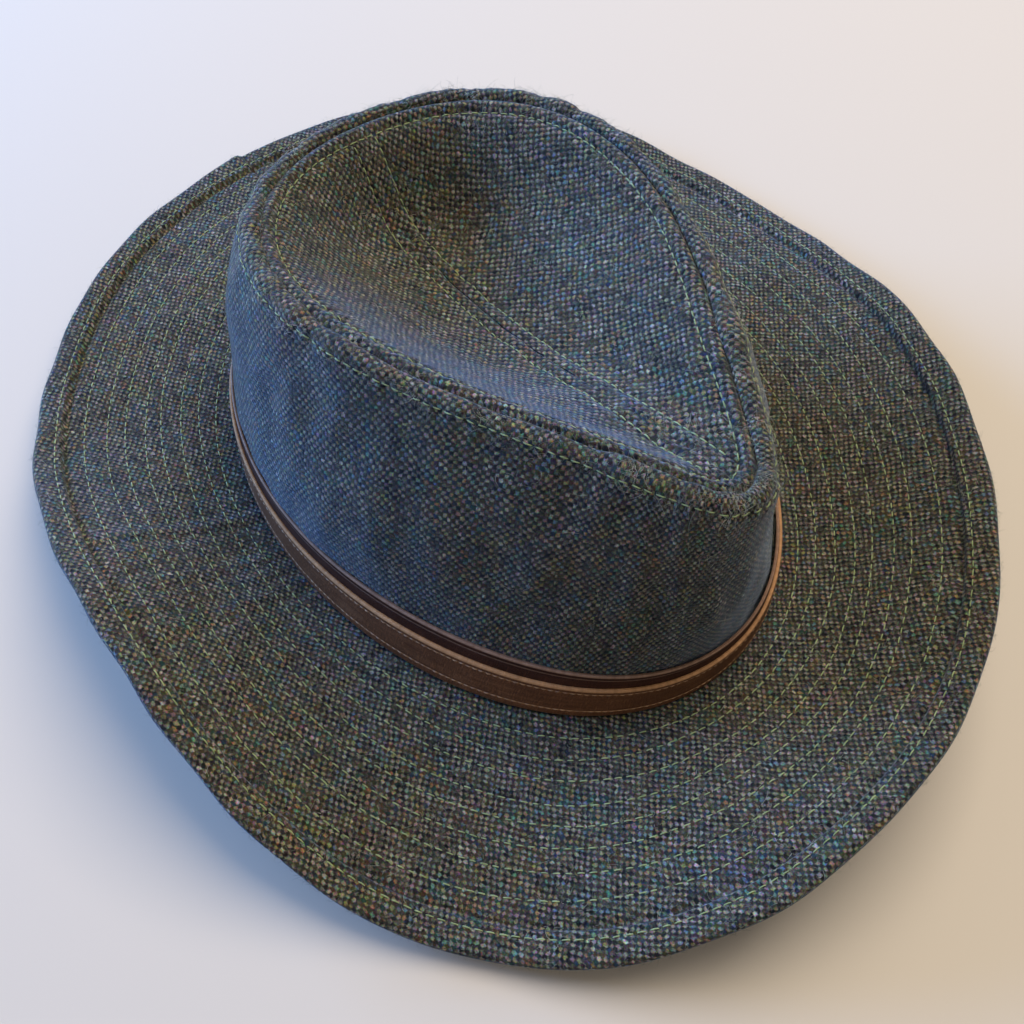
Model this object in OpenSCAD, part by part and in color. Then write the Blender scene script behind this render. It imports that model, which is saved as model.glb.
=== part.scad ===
// Soft cut-and-sewn wool tweed hat with a teardrop crown and a wide quilted brim.
// Front of the hat is -Y, the wearer's left is +X. The hat stands on z = 0.
// The origin is on the axis of the head opening, where it crosses z = 0.

/* [Head opening] */
// Half width of the crown cloth where it meets the brim
head_half_w = 80.5; // [74:0.5:86]
// Half length of the crown cloth where it meets the brim
head_half_l = 106.5; // [98:0.5:112]
// How much wider the oval is at the back than at the front
head_egg = 0.035; // [0:0.005:0.06]

/* [Crown] */
// Height of the ridge at mid length, above the brim
ridge_h = 90; // [80:1:105]
// How much lower the ridge is at the back than at the front
ridge_fall = 13; // [0:1:20]
// How far the ends of the ridge fall below its middle
ridge_arch = 4.7; // [0:0.1:8]
// Reach of the ridge towards the front
ridge_front = 99.5; // [88:0.5:101]
// Reach of the ridge towards the back
ridge_back = 81.5; // [70:0.5:92]
// Half width of the teardrop at its widest
ridge_half_w = 56; // [46:0.5:62]
// Taper of the teardrop towards its front point
ridge_taper = 0.59; // [0.4:0.01:0.8]
// Roundness of the teardrop's front point
ridge_round = 0.13; // [0.08:0.01:0.3]
// Outward belly of the side wall
wall_belly = 7; // [2:0.5:10]

/* [Dished tip] */
// Height of the dish at its deepest, above the brim
dish_h = 54; // [46:1:66]
// Where the deepest point lies, towards the back
dish_y = 38; // [20:1:46]
// Height of the centre line near the front point
dish_front_h = 83; // [76:1:88]
// Rate at which the dish steepens towards the ridge
dish_power = 1.9; // [1.4:0.1:2.6]

/* [Brim] */
// Width of the brim from the crown to its edge
brim_w = 70.5; // [55:0.5:85]
// Swell of the brim's width, twice round
brim_swell = 4; // [0:0.5:5]
// Direction of that swell, degrees from the wearer's left
brim_swell_dir = 53; // [0:1:180]
// Mean upward tilt of the brim, degrees
tilt_0 = 14; // [10:0.5:20]
// Once-round part of the tilt, degrees
tilt_1 = 10; // [0:0.5:12]
// Twice-round part of the tilt, degrees
tilt_2 = 8; // [0:0.5:10]
// Three times round part of the tilt, degrees
tilt_3 = 8.5; // [0:0.5:10]
// Four times round part of the tilt, degrees
tilt_4 = 2.5; // [0:0.5:4]
// Five times round part of the tilt, degrees
tilt_5 = 3; // [0:0.5:4]

/* [Cloth and trim] */
// Thickness of the tweed
tweed_t = 1.3; // [1:0.1:1.5]
// Thickness of the brim's stiffener
stiff_t = 0.8; // [0.5:0.1:0.9]
// Thickness of the crown's interlining
canvas_t = 0.5; // [0.3:0.1:0.6]
// Thickness of the lining
lining_t = 0.4; // [0.3:0.1:0.5]
// Height of the sweatband
sweat_h = 30; // [24:1:36]
// Thickness of the sweatband
sweat_t = 1; // [0.8:0.1:1.2]
// Height of the wide leather band
band_h = 17.5; // [14:0.5:30]
// Thickness of the wide leather band
band_t = 0.9; // [0.8:0.1:1.5]
// Height of the narrow strap on the band
strap_h = 12; // [8:0.5:13]
// Thickness of the narrow strap
strap_t = 1.1; // [1:0.1:1.8]
// Half thickness of a sewing thread
thread_r = 0.3; // [0.2:0.05:0.35]

/* [Hidden] */

NT = 60;                       // stations round the hat
gap = 0.05;                    // air between neighbouring layers
base_z = 2 * tweed_t + stiff_t + 2 * gap;   // top of the brim at the crown
row_at = [0.136, 0.220, 0.314, 0.407, 0.489, 0.579, 0.665, 0.776];
edge_row = 0.9;                // place of the edge topstitch across the brim
joint_t = 15;                  // where the band's two ends meet

tweed = [0.17, 0.19, 0.17];
thread = [0.45, 0.5, 0.28];

// ---- head oval, its outward direction
function oval(t) = [head_half_w * cos(t) * (1 + head_egg * sin(t)), head_half_l * sin(t)];
function unit(v) = v / norm(v);
function oval_out(t) = let (a = oval(t - 0.5), b = oval(t + 0.5), d = unit(b - a)) [d[1], -d[0]];

// ---- brim: f = 0 at the crown, 1 at the edge; below 0 it runs flat under the crown
function brim_tilt(t) = tilt_0 + tilt_1 * cos(t + 91) + tilt_2 * cos(2 * (t + 35))
    + tilt_3 * cos(3 * (t - 60)) + tilt_4 * cos(4 * t) + tilt_5 * cos(5 * (t + 27));
function brim_width(t) = brim_w + brim_swell * cos(2 * (t - brim_swell_dir));
function brim_pt(t, f, down) =
    let (o = oval(t), n = oval_out(t), w = brim_width(t), p = brim_tilt(t),
         r = f < 0 ? f * brim_w : w * f * cos(0.9 * p),
         z = f < 0 ? 0 : w * sin(p) * pow(f, 1.35))
    [o[0] + n[0] * r, o[1] + n[1] * r, base_z + z - down];

// ---- teardrop ridge
function tear_k(t) = let (s = (1 + sin(t)) / 2) cos(t) * pow(s * s + ridge_round * ridge_round, ridge_taper / 2);
tear_max = max([for (t = [-85:1:85]) tear_k(t)]);
function ridge_z(s) = base_z + ridge_h - ridge_fall * (s - 0.5) - 4 * ridge_arch * (s - 0.5) * (s - 0.5);
function ridge_pt(t) = let (s = (1 + sin(t)) / 2)
    [ridge_half_w * tear_k(t) / tear_max,
     (ridge_back - ridge_front) / 2 + (ridge_back + ridge_front) / 2 * sin(t), ridge_z(s)];
function ridge_out(t) = let (a = ridge_pt(t - 0.5), b = ridge_pt(t + 0.5), d = unit([b[0] - a[0], b[1] - a[1]])) [d[1], -d[0]];

// ---- side wall: v = 0 at the brim, 1 at the ridge; inn = distance inside the cloth's face
function wall_lean(t) = let (o = oval(t), r = ridge_pt(t), n = oval_out(t))
    ((o[0] - r[0]) * n[0] + (o[1] - r[1]) * n[1]) / (r[2] - base_z);
function wall_pt(t, v, inn) =
    let (o = oval(t), r = ridge_pt(t), n = oval_out(t), m = ridge_out(t),
         b = wall_belly * 2.6 * v * sqrt(max(0, 1 - v)) * (0.8 + 0.2 * sin(t)),
         nn = unit([n[0] * (1 - v) + m[0] * v, n[1] * (1 - v) + m[1] * v]))
    [o[0] * (1 - v) + r[0] * v + nn[0] * (b - inn),
     o[1] * (1 - v) + r[1] * v + nn[1] * (b - inn),
     base_z + gap + (r[2] - base_z - gap) * v];
function v_at(t, z) = (z - base_z - gap) / (ridge_pt(t)[2] - base_z - gap);

// ---- dished tip: u = 0 on the centre line, 1 at the ridge
function spine_z(y) = y < dish_y
    ? let (q = (dish_y - y) / (dish_y + 62)) base_z + dish_h + (dish_front_h - dish_h) * pow(q, 1.8)
    : let (q = (y - dish_y) / 40) base_z + dish_h + 10 * q * q;
function spine_pt(t) = let (y = -8 + 54 * sin(t)) [0, y, spine_z(y)];
function tip_pt(t, u, down) =
    let (c = spine_pt(t), r = ridge_pt(t))
    [c[0] + (r[0] - c[0]) * u, c[1] + (r[1] - c[1]) * u,
     c[2] + (r[2] - c[2]) * pow(u, dish_power) - down];
function u_in(t, d) = 1 - d / norm([ridge_pt(t)[0], ridge_pt(t)[1] - spine_pt(t)[1]]);

// ---- closed shells: a ring of stations by a few rows, with an outer and an inner face
// top and bot are lists of rows, each a list of points
function flat1(l) = [for (a = l) each a];
module ring_shell(top, bot) {
    n = len(top[0]); r = len(top);
    function id(s, i, j) = s * r * n + i * n + (j % n);
    polyhedron(points = concat(flat1(top), flat1(bot)), faces = concat(
        [for (i = [0:r - 2], j = [0:n - 1]) each [[id(0, i, j), id(0, i + 1, j), id(0, i + 1, j + 1)], [id(0, i, j), id(0, i + 1, j + 1), id(0, i, j + 1)]]],
        [for (i = [0:r - 2], j = [0:n - 1]) each [[id(1, i, j), id(1, i + 1, j + 1), id(1, i + 1, j)], [id(1, i, j), id(1, i, j + 1), id(1, i + 1, j + 1)]]],
        [for (j = [0:n - 1]) each [[id(0, 0, j), id(0, 0, j + 1), id(1, 0, j + 1)], [id(0, 0, j), id(1, 0, j + 1), id(1, 0, j)]]],
        [for (j = [0:n - 1]) each [[id(0, r - 1, j), id(1, r - 1, j + 1), id(0, r - 1, j + 1)], [id(0, r - 1, j), id(1, r - 1, j), id(1, r - 1, j + 1)]]]));
}
// an open strip of stations: the same, with its two ends closed
module strip_shell(top, bot) {
    n = len(top[0]); r = len(top);
    function id(s, i, j) = s * r * n + i * n + j;
    polyhedron(points = concat(flat1(top), flat1(bot)), faces = concat(
        [for (i = [0:r - 2], j = [0:n - 2]) each [[id(0, i, j), id(0, i + 1, j), id(0, i + 1, j + 1)], [id(0, i, j), id(0, i + 1, j + 1), id(0, i, j + 1)]]],
        [for (i = [0:r - 2], j = [0:n - 2]) each [[id(1, i, j), id(1, i + 1, j + 1), id(1, i + 1, j)], [id(1, i, j), id(1, i, j + 1), id(1, i + 1, j + 1)]]],
        [for (j = [0:n - 2]) each [[id(0, 0, j), id(0, 0, j + 1), id(1, 0, j + 1)], [id(0, 0, j), id(1, 0, j + 1), id(1, 0, j)]]],
        [for (j = [0:n - 2]) each [[id(0, r - 1, j), id(1, r - 1, j + 1), id(0, r - 1, j + 1)], [id(0, r - 1, j), id(1, r - 1, j), id(1, r - 1, j + 1)]]],
        [for (i = [0:r - 2]) each [[id(0, i, 0), id(1, i, 0), id(1, i + 1, 0)], [id(0, i, 0), id(1, i + 1, 0), id(0, i + 1, 0)]]],
        [for (i = [0:r - 2]) each [[id(0, i, n - 1), id(1, i + 1, n - 1), id(1, i, n - 1)], [id(0, i, n - 1), id(0, i + 1, n - 1), id(1, i + 1, n - 1)]]]));
}
// a closed loop or an open line of thread, three-sided, along points p with a side vector and an up vector
module thread_loop(p, a, b, closed = true) {
    n = len(p);
    m = closed ? n : n - 1;
    function id(j, k) = (j % n) * 3 + (k % 3);
    polyhedron(points = [for (j = [0:n - 1]) each [p[j] + thread_r * b[j], p[j] - thread_r * 0.5 * b[j] + thread_r * 0.87 * a[j], p[j] - thread_r * 0.5 * b[j] - thread_r * 0.87 * a[j]]],
        faces = concat([for (j = [0:m - 1], k = [0:2]) each [[id(j, k), id(j, k + 1), id(j + 1, k + 1)], [id(j, k), id(j + 1, k + 1), id(j + 1, k)]]],
            closed ? [] : [[0, 2, 1], [id(n - 1, 0), id(n - 1, 1), id(n - 1, 2)]]));
}

ts = [for (j = [0:NT - 1]) j * 360 / NT];

module brim_layer(d0, d1, fs) {
    ring_shell([for (f = fs) [for (t = ts) brim_pt(t, f, d0)]], [for (f = fs) [for (t = ts) brim_pt(t, f, d1)]]);
}
module brim_row(f) {
    thread_loop([for (t = ts) brim_pt(t, f, -0.3 - thread_r)],
        [for (t = ts) let (n = oval_out(t)) [n[0], n[1], 0]], [for (t = ts) [0, 0, 1]]);
}
module wall_layer(i0, i1, z0, below, vs) {
    ring_shell([for (v = vs) [for (t = ts) let (a = v_at(t, z0), b = 1 - below / 90) wall_pt(t, a + (b - a) * v, i1)]],
        [for (v = vs) [for (t = ts) let (a = v_at(t, z0), b = 1 - below / 90) wall_pt(t, a + (b - a) * v, i0)]]);
}
// a band of even height round the wall
module wall_band(i0, i1, z0, z1, rows, tt = ts) {
    ring_shell([for (k = [0:rows]) [for (t = tt) wall_pt(t, v_at(t, z0 + (z1 - z0) * k / rows), i1)]],
        [for (k = [0:rows]) [for (t = tt) wall_pt(t, v_at(t, z0 + (z1 - z0) * k / rows), i0)]]);
}
module wall_row(z, out) {
    thread_loop([for (t = ts) wall_pt(t, v_at(t, z), -out - thread_r)],
        [for (t = ts) [0, 0, -1]], [for (t = ts) let (n = oval_out(t)) [n[0], n[1], 0]]);
}
module tip_layer(d0, d1, edge_in, us, tt) {
    strip_shell([for (u = us) [for (t = tt) tip_pt(t, u * u_in(t, edge_in), d0)]],
        [for (u = us) [for (t = tt) tip_pt(t, u * u_in(t, edge_in), d1)]]);
}

// ---- brim
module brim_upper() { color(tweed) brim_layer(0, tweed_t, [-0.04, 0, 0.18, 0.42, 0.7, 1]); }
module brim_stiffener() {
    color([0.75, 0.74, 0.68]) brim_layer(tweed_t + gap, tweed_t + gap + stiff_t, [-0.04, 0, 0.18, 0.42, 0.7, 0.97]);
}
module brim_under() {
    color(tweed) brim_layer(tweed_t + 2 * gap + stiff_t, base_z, [-0.04, 0, 0.18, 0.42, 0.7, 1]);
}
module brim_quilting() { color(thread) for (f = row_at) brim_row(f); }
module brim_edge_stitch() { color(thread) brim_row(edge_row); }

// ---- crown
module crown_side() { color(tweed) wall_layer(0, tweed_t, base_z + gap, 0, [0, 0.2, 0.42, 0.66, 0.86, 1]); }
module crown_side_interlining() {
    color([0.82, 0.82, 0.78]) wall_layer(tweed_t + gap, tweed_t + gap + canvas_t, base_z + gap, 9, [0, 0.24, 0.5, 0.78, 1]);
}
// one half of the tip; its straight edge lies 0.05 from the centre plane
module tip_half() {
    us = [0, 0.3, 0.55, 0.75, 0.9, 1];
    tt = [for (j = [0:NT / 2]) -90 + j * 360 / NT];
    intersection() {
        closed_tip(0, tweed_t + 0.5, tweed_t + 0.2, us);
        translate([gap, -200, 0]) cube([200, 400, 200]);
    }
}
// a whole tip: the rings close on a short ridge line, capped by a fan of strips
module closed_tip(d0, d1, edge_in, us) {
    h = NT / 2;
    tr = [for (j = [0:NT - 1]) -90 + j * 360 / NT];
    r = len(us);
    top = [for (i = [1:r - 1]) [for (t = tr) tip_pt(t, us[i] * u_in(t, edge_in), d0)]];
    bot = [for (i = [1:r - 1]) [for (t = tr) tip_pt(t, us[i] * u_in(t, edge_in), d1)]];
    m = r - 1;
    mid_t = [for (j = [0:h]) tip_pt(tr[j], 0, d0)];
    mid_b = [for (j = [0:h]) tip_pt(tr[j], 0, d1)];
    function id(s, i, j) = s * m * NT + i * NT + (j % NT);
    function mid(s, j) = 2 * m * NT + s * (h + 1) + (j <= h ? j : NT - j);
    polyhedron(points = concat(flat1(top), flat1(bot), mid_t, mid_b), faces = concat(
        [for (i = [0:m - 2], j = [0:NT - 1]) each [[id(0, i, j), id(0, i + 1, j + 1), id(0, i + 1, j)], [id(0, i, j), id(0, i, j + 1), id(0, i + 1, j + 1)]]],
        [for (i = [0:m - 2], j = [0:NT - 1]) each [[id(1, i, j), id(1, i + 1, j), id(1, i + 1, j + 1)], [id(1, i, j), id(1, i + 1, j + 1), id(1, i, j + 1)]]],
        [for (j = [0:NT - 1]) each [[mid(0, j), id(0, 0, j + 1), id(0, 0, j)], [mid(0, j), mid(0, j + 1), id(0, 0, j + 1)]]],
        [for (j = [0:NT - 1]) each [[mid(1, j), id(1, 0, j), id(1, 0, j + 1)], [mid(1, j), id(1, 0, j + 1), mid(1, j + 1)]]],
        [for (j = [0:NT - 1]) each [[id(0, m - 1, j), id(0, m - 1, j + 1), id(1, m - 1, j + 1)], [id(0, m - 1, j), id(1, m - 1, j + 1), id(1, m - 1, j)]]]));
}
module crown_tip_left() { color(tweed) tip_half(); }
module crown_tip_right() { color(tweed) mirror([1, 0, 0]) tip_half(); }
module crown_tip_interlining() {
    color([0.82, 0.82, 0.78]) closed_tip(tweed_t + 0.6, tweed_t + 1.2, 5, [0, 0.4, 0.75, 1]);
}
// the two rows either side of the tip's centre seam
module tip_seam_stitch() {
    us = [for (k = [0:23]) k / 23];
    color(thread) for (s = [-1, 1]) {
        pts = [for (q = us) let (y = 64 - q * 144) [s * 4, y, tip_top(4, y) + 0.35 + thread_r]];
        thread_loop(pts, [for (q = us) [1, 0, 0]], [for (q = us) [0, 0, 1]], false);
    }
}
// height of the tip's face at a point x, y beside the centre line
function tip_top(x, y) = let (
    c = [for (t = [-89:1.5:89]) let (r = ridge_pt(t), cc = spine_pt(t), u = x / max(r[0], 0.001)) if (u <= 1) [abs(cc[1] + (r[1] - cc[1]) * u - y), tip_pt(t, u, 0)[2]]],
    k = min([for (e = c) e[0]])) max([for (e = c) if (e[0] < k + 0.4) e[1]]);
module ridge_stitch_inner() {
    color(thread) thread_loop([for (t = ts) tip_pt(t, u_in(t, 6.5), -0.4 - thread_r)],
        [for (t = ts) let (n = ridge_out(t)) [n[0], n[1], 0]], [for (t = ts) [0, 0, 1]]);
}
module ridge_stitch_outer() {
    color(thread) thread_loop([for (t = ts) wall_pt(t, 1 - 8 / 90, -0.5 - thread_r)],
        [for (t = ts) [0, 0, -1]], [for (t = ts) let (n = ridge_out(t)) [n[0], n[1], 0]]);
}

// ---- inside the crown
lin_in = tweed_t + canvas_t + 0.4;
module lining_side() { color([0.2, 0.2, 0.24]) wall_layer(lin_in, lin_in + lining_t, base_z + 1, 14, [0, 0.3, 0.65, 1]); }
module lining_tip() { color([0.2, 0.2, 0.24]) closed_tip(tweed_t + 1.9, tweed_t + 2.5, 9, [0, 0.4, 0.75, 1]); }
sweat_in = lin_in + lining_t + 0.3;
module sweatband() { color([0.2, 0.16, 0.13]) wall_band(sweat_in, sweat_in + sweat_t, base_z + 0.6, base_z + sweat_h, 2); }
module sweatband_stitch() {
    color(thread) thread_loop([for (t = ts) wall_pt(t, v_at(t, base_z + 4), sweat_in + sweat_t + 0.15 + thread_r)],
        [for (t = ts) [0, 0, -1]], [for (t = ts) let (n = oval_out(t)) [-n[0], -n[1], 0]]);
}

// ---- leather band
band_z = base_z + 1.1;
module hatband_base() { color([0.16, 0.1, 0.08]) wall_band(-0.15 - band_t, -0.15, band_z, band_z + band_h, 2); }
strap_out = 0.3 + band_t;
module hatband_strap() { color([0.27, 0.19, 0.14]) wall_band(-strap_out - strap_t, -strap_out, band_z + 0.4, band_z + 0.4 + strap_h, 2); }
module hatband_stitch_upper() { color([0.5, 0.4, 0.28]) wall_row(band_z + strap_h - 1.7, strap_out + strap_t + 0.15); }
module hatband_stitch_lower() { color([0.5, 0.4, 0.28]) wall_row(band_z + 2.6, strap_out + strap_t + 0.15); }
// short wrap of leather over the strap's joint
module hatband_keeper() {
    tt = [for (k = [-3:3]) joint_t + k * 1.2];
    o = strap_out + strap_t + 2 * thread_r + 0.4;
    color([0.24, 0.16, 0.12]) strip_shell(
        [for (k = [0:2]) [for (t = tt) wall_pt(t, v_at(t, band_z + 0.3 + k * (strap_h + 1) / 2), -o)]],
        [for (k = [0:2]) [for (t = tt) wall_pt(t, v_at(t, band_z + 0.3 + k * (strap_h + 1) / 2), -o - 1.2)]]);
}
// blank cloth tab behind the sweatband's top edge, at the back
module care_label() {
    tt = [for (k = [-4:4]) 90 + k * 2];
    i = sweat_in + sweat_t + 0.4;
    color([0.85, 0.85, 0.82]) strip_shell(
        [for (k = [0:2]) [for (t = tt) wall_pt(t, v_at(t, base_z + 14 + k * 12), i + 0.5)]],
        [for (k = [0:2]) [for (t = tt) wall_pt(t, v_at(t, base_z + 14 + k * 12), i)]]);
}

brim_upper();
brim_stiffener();
brim_under();
brim_quilting();
brim_edge_stitch();
crown_side();
crown_tip_left();
crown_tip_right();
crown_side_interlining();
crown_tip_interlining();
tip_seam_stitch();
ridge_stitch_inner();
ridge_stitch_outer();
lining_side();
lining_tip();
sweatband();
sweatband_stitch();
hatband_base();
hatband_strap();
hatband_stitch_upper();
hatband_stitch_lower();
hatband_keeper();
care_label();
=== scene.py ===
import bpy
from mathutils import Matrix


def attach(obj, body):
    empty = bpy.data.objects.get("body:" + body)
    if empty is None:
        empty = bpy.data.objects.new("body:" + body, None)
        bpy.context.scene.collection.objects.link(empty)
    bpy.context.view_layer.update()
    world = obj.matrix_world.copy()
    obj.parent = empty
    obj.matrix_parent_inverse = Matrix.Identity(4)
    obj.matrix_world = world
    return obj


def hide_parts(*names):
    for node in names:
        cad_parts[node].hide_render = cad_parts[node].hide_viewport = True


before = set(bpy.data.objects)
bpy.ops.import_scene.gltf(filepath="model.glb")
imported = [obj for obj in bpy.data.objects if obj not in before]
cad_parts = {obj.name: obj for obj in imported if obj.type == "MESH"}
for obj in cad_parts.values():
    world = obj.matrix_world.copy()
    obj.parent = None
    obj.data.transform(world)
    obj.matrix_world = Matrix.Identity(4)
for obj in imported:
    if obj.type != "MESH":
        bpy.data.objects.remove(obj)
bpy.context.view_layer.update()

import math
import bpy
import numpy as np
from mathutils import Vector, Matrix

rng = np.random.default_rng(11)
MM = 0.001


# ------------------------------------------------------------------ helpers
def cosd(a):
    return np.cos(np.radians(a))


def sind(a):
    return np.sin(np.radians(a))


def unit(v):
    return v / np.maximum(np.linalg.norm(v, axis=-1, keepdims=True), 1e-12)


def sstep(a, b, x):
    k = np.clip((x - a) / (b - a), 0, 1)
    return k * k * (3 - 2 * k)


def bell(x, w):
    return np.exp(-((x / w) ** 2))


class Wob:
    """Smooth seeded wobble of two variables, periodic in degrees in the first."""

    def __init__(self, seed, lo, hi, n=14, vlo=0.01, vhi=0.08):
        g = np.random.default_rng(seed)
        self.k = g.integers(lo, hi + 1, n)
        self.m = g.uniform(vlo, vhi, n) * g.choice([-1, 1], n)
        self.ph = g.uniform(0, 2 * math.pi, n)
        self.a = g.uniform(0.5, 1, n)
        self.a /= np.sqrt((self.a**2).sum() / 2)

    def __call__(self, t, v=0.0):
        out = 0.0
        for k, m, p, a in zip(self.k, self.m, self.ph, self.a):
            out = out + a * np.sin(k * np.radians(t) + m * 2 * math.pi * v + p)
        return out


def new_object(name, verts, faces, uv=None, smooth=True):
    me = bpy.data.meshes.new(name)
    verts = np.asarray(verts, float) * MM
    faces = np.asarray(faces, np.int32)
    n, k = faces.shape
    me.vertices.add(len(verts))
    me.vertices.foreach_set("co", verts.ravel())
    me.loops.add(n * k)
    me.loops.foreach_set("vertex_index", faces.ravel())
    me.polygons.add(n)
    me.polygons.foreach_set("loop_start", np.arange(0, n * k, k, dtype=np.int32))
    me.polygons.foreach_set("loop_total", np.full(n, k, np.int32))
    me.update(calc_edges=True)
    if uv is not None:
        lay = me.uv_layers.new(name="weave")
        lay.data.foreach_set("uv", np.asarray(uv, float).reshape(-1, 2).astype(np.float32).ravel())
    me.polygons.foreach_set("use_smooth", np.full(n, smooth))
    me.validate()
    me.update()
    ob = bpy.data.objects.new(name, me)
    bpy.context.scene.collection.objects.link(ob)
    return ob


def grid_faces(r, c, wrap_r=False, wrap_c=False):
    rr = np.arange(r if wrap_r else r - 1)
    cc = np.arange(c if wrap_c else c - 1)
    i, j = np.meshgrid(rr, cc, indexing="ij")
    i, j = i.ravel(), j.ravel()
    i1, j1 = (i + 1) % r, (j + 1) % c
    return np.stack([i * c + j, i * c + j1, i1 * c + j1, i1 * c + j], 1), (i, j)


def ring_object(name, P, UV, flip=False, close_profile=True):
    """P: rows x stations x 3, a closed profile swept round the hat. UV the same, with no wrap."""
    r, c = P.shape[:2]
    f, (i, j) = grid_faces(r, c, close_profile, True)
    i1, j1 = (i + 1) % r, j + 1
    UVw = np.concatenate([UV, UV[:, :1] + (UV[:, -1:] - UV[:, -2:-1]) * 0], 1)
    # the last column continues from the one before it
    UVw[:, -1] = UV[:, 0] + wrap_uv(UV)
    uv = np.stack([UVw[i, j], UVw[i, j1], UVw[i1, j1], UVw[i1, j]], 1)
    if flip:
        f = f[:, ::-1]
        uv = uv[:, ::-1]
    return new_object(name, P.reshape(-1, 3), f, uv)


def wrap_uv(UV):
    """Offset that carries station 0 on past the last station: 0 where UV is a plane map of the ring."""
    d = UV[:, 0] - UV[:, -1]
    step = UV[:, -1] - UV[:, -2]
    plane = np.abs(d - step).sum(1) < 2.0
    return np.where(plane[:, None], 0.0, (UV[:, -1] + step) - UV[:, 0])


def grid_normals(P, wrap_c=True):
    """Normals of a rows x stations grid; rows run down the profile."""
    if wrap_c:
        dt = np.roll(P, -1, 1) - np.roll(P, 1, 1)
    else:
        dt = np.gradient(P, axis=1)
    dr = np.gradient(P, axis=0)
    return unit(np.cross(dt, dr))


# ------------------------------------------------------------------ the hat's own shape, as in the CAD (mm, degrees)
HW, HL, EGG = 80.5, 106.5, 0.035
RIDGE_H, FALL, ARCH = 90.0, 13.0, 4.7
R_FRONT, R_BACK, R_HALF, R_TAPER, R_ROUND = 99.5, 81.5, 56.0, 0.59, 0.13
DISH_H, DISH_Y, DISH_F, BELLY = 54.0, 38.0, 83.0, 7.0
BRIM_W, SWELL, SWELL_D = 70.5, 4.0, 53.0
TILT = [14.0, 10.0, 8.0, 8.5, 2.5, 3.0]
TWEED, STIFF, CANVAS, LINING = 1.3, 0.8, 0.5, 0.4
BASE = 2 * TWEED + STIFF + 0.1


def oval(t):
    return np.stack([HW * cosd(t) * (1 + EGG * sind(t)), HL * sind(t)], -1)


def out_of(fn, t):
    d = unit(fn(t + 0.5)[..., :2] - fn(t - 0.5)[..., :2])
    return np.stack([d[..., 1], -d[..., 0]], -1)


def tilt(t):
    return (TILT[0] + TILT[1] * cosd(t + 91) + TILT[2] * cosd(2 * (t + 35)) + TILT[3] * cosd(3 * (t - 60))
            + TILT[4] * cosd(4 * t) + TILT[5] * cosd(5 * (t + 27)))


def width(t):
    return BRIM_W + SWELL * cosd(2 * (t - SWELL_D))


def brim_base(t, w):
    """Smooth top of the brim, w mm out from the crown along the cloth."""
    W = width(t)
    f = w / W
    p = tilt(t)
    fp = np.maximum(f, 0)
    r = np.where(f < 0, w, W * f * cosd(0.9 * p))
    z = W * sind(p) * fp**1.35
    o, n = oval(t), out_of(oval, t)
    return np.stack([o[..., 0] + n[..., 0] * r, o[..., 1] + n[..., 1] * r, BASE + z], -1)


def tear_k(t):
    s = (1 + sind(t)) / 2
    return cosd(t) * (s * s + R_ROUND**2) ** (R_TAPER / 2)


TEAR_MAX = tear_k(np.arange(-85, 86, 1.0)).max()


def ridge(t):
    s = (1 + sind(t)) / 2
    z = BASE + RIDGE_H - FALL * (s - 0.5) - 4 * ARCH * (s - 0.5) ** 2
    return np.stack([R_HALF * tear_k(t) / TEAR_MAX, (R_BACK - R_FRONT) / 2 + (R_BACK + R_FRONT) / 2 * sind(t), z], -1)


def spine(t):
    y = -8 + 54 * sind(t)
    q = (DISH_Y - y) / (DISH_Y + 62)
    z = np.where(y < DISH_Y, BASE + DISH_H + (DISH_F - DISH_H) * np.abs(q) ** 1.8, BASE + DISH_H + 10 * ((y - DISH_Y) / 40) ** 2)
    return np.stack([0 * y, y, z], -1)


# ------------------------------------------------------------------ finished surfaces
ROWS = [0.136, 0.220, 0.314, 0.407, 0.489, 0.579, 0.665, 0.776]
EDGE_ROW, CREASE = 0.906, 0.862
SEAM_T = 91.0          # where the brim's cloth is joined
wob_row = Wob(3, 3, 9, 10, 0.0, 0.0)
wob_low = Wob(5, 3, 11, 14, 0.0, 1.2)
wob_mid = Wob(6, 14, 34, 18, 0.5, 3.0)
wob_puck = Wob(8, 60, 130, 22, 0.0, 0.0)


def row_f(i, t):
    return ROWS[i] + 0.0045 * wob_row(t + 47 * i)


def dseam(t):
    return (np.asarray(t) - SEAM_T + 180) % 360 - 180


def brim_relief(t, w):
    """Height of the finished cloth over the smooth brim."""
    W = width(t)
    f = w / W
    h = 0.55 * wob_low(t, f) * sstep(0.05, 0.6, f) + 0.14 * wob_mid(t, f) * sstep(0.02, 0.3, f)
    edges = [np.zeros_like(f)] + [row_f(i, t) for i in range(8)] + [CREASE + 0 * f]
    puff = 0.0
    for a, b in zip(edges[:-1], edges[1:]):
        k = np.clip((f - a) / (b - a), 0, 1)
        puff = puff + np.sqrt(np.clip(4 * k * (1 - k), 0, 1)) * ((f >= a) & (f < b))
    h = h + 0.30 * puff * (1 + 0.25 * wob_puck(t, 0))
    # the turned edge is thicker, with a crease at its inner side
    bw = (f - CREASE) * W
    h = h + 1.25 * sstep(0.0, 1.7, bw) - 0.95 * bell(bw + 0.1, 0.75)
    h = h - 0.3 * bell((f - EDGE_ROW) * W, 0.8) * (f > CREASE)
    # radial join of the brim's cloth
    ds = dseam(t) * (HW + w) * math.pi / 180
    h = h - 0.7 * bell(ds, 0.7) + 0.35 * bell(np.abs(ds) - 3.0, 2.2) * (f > 0)
    return h


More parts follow.
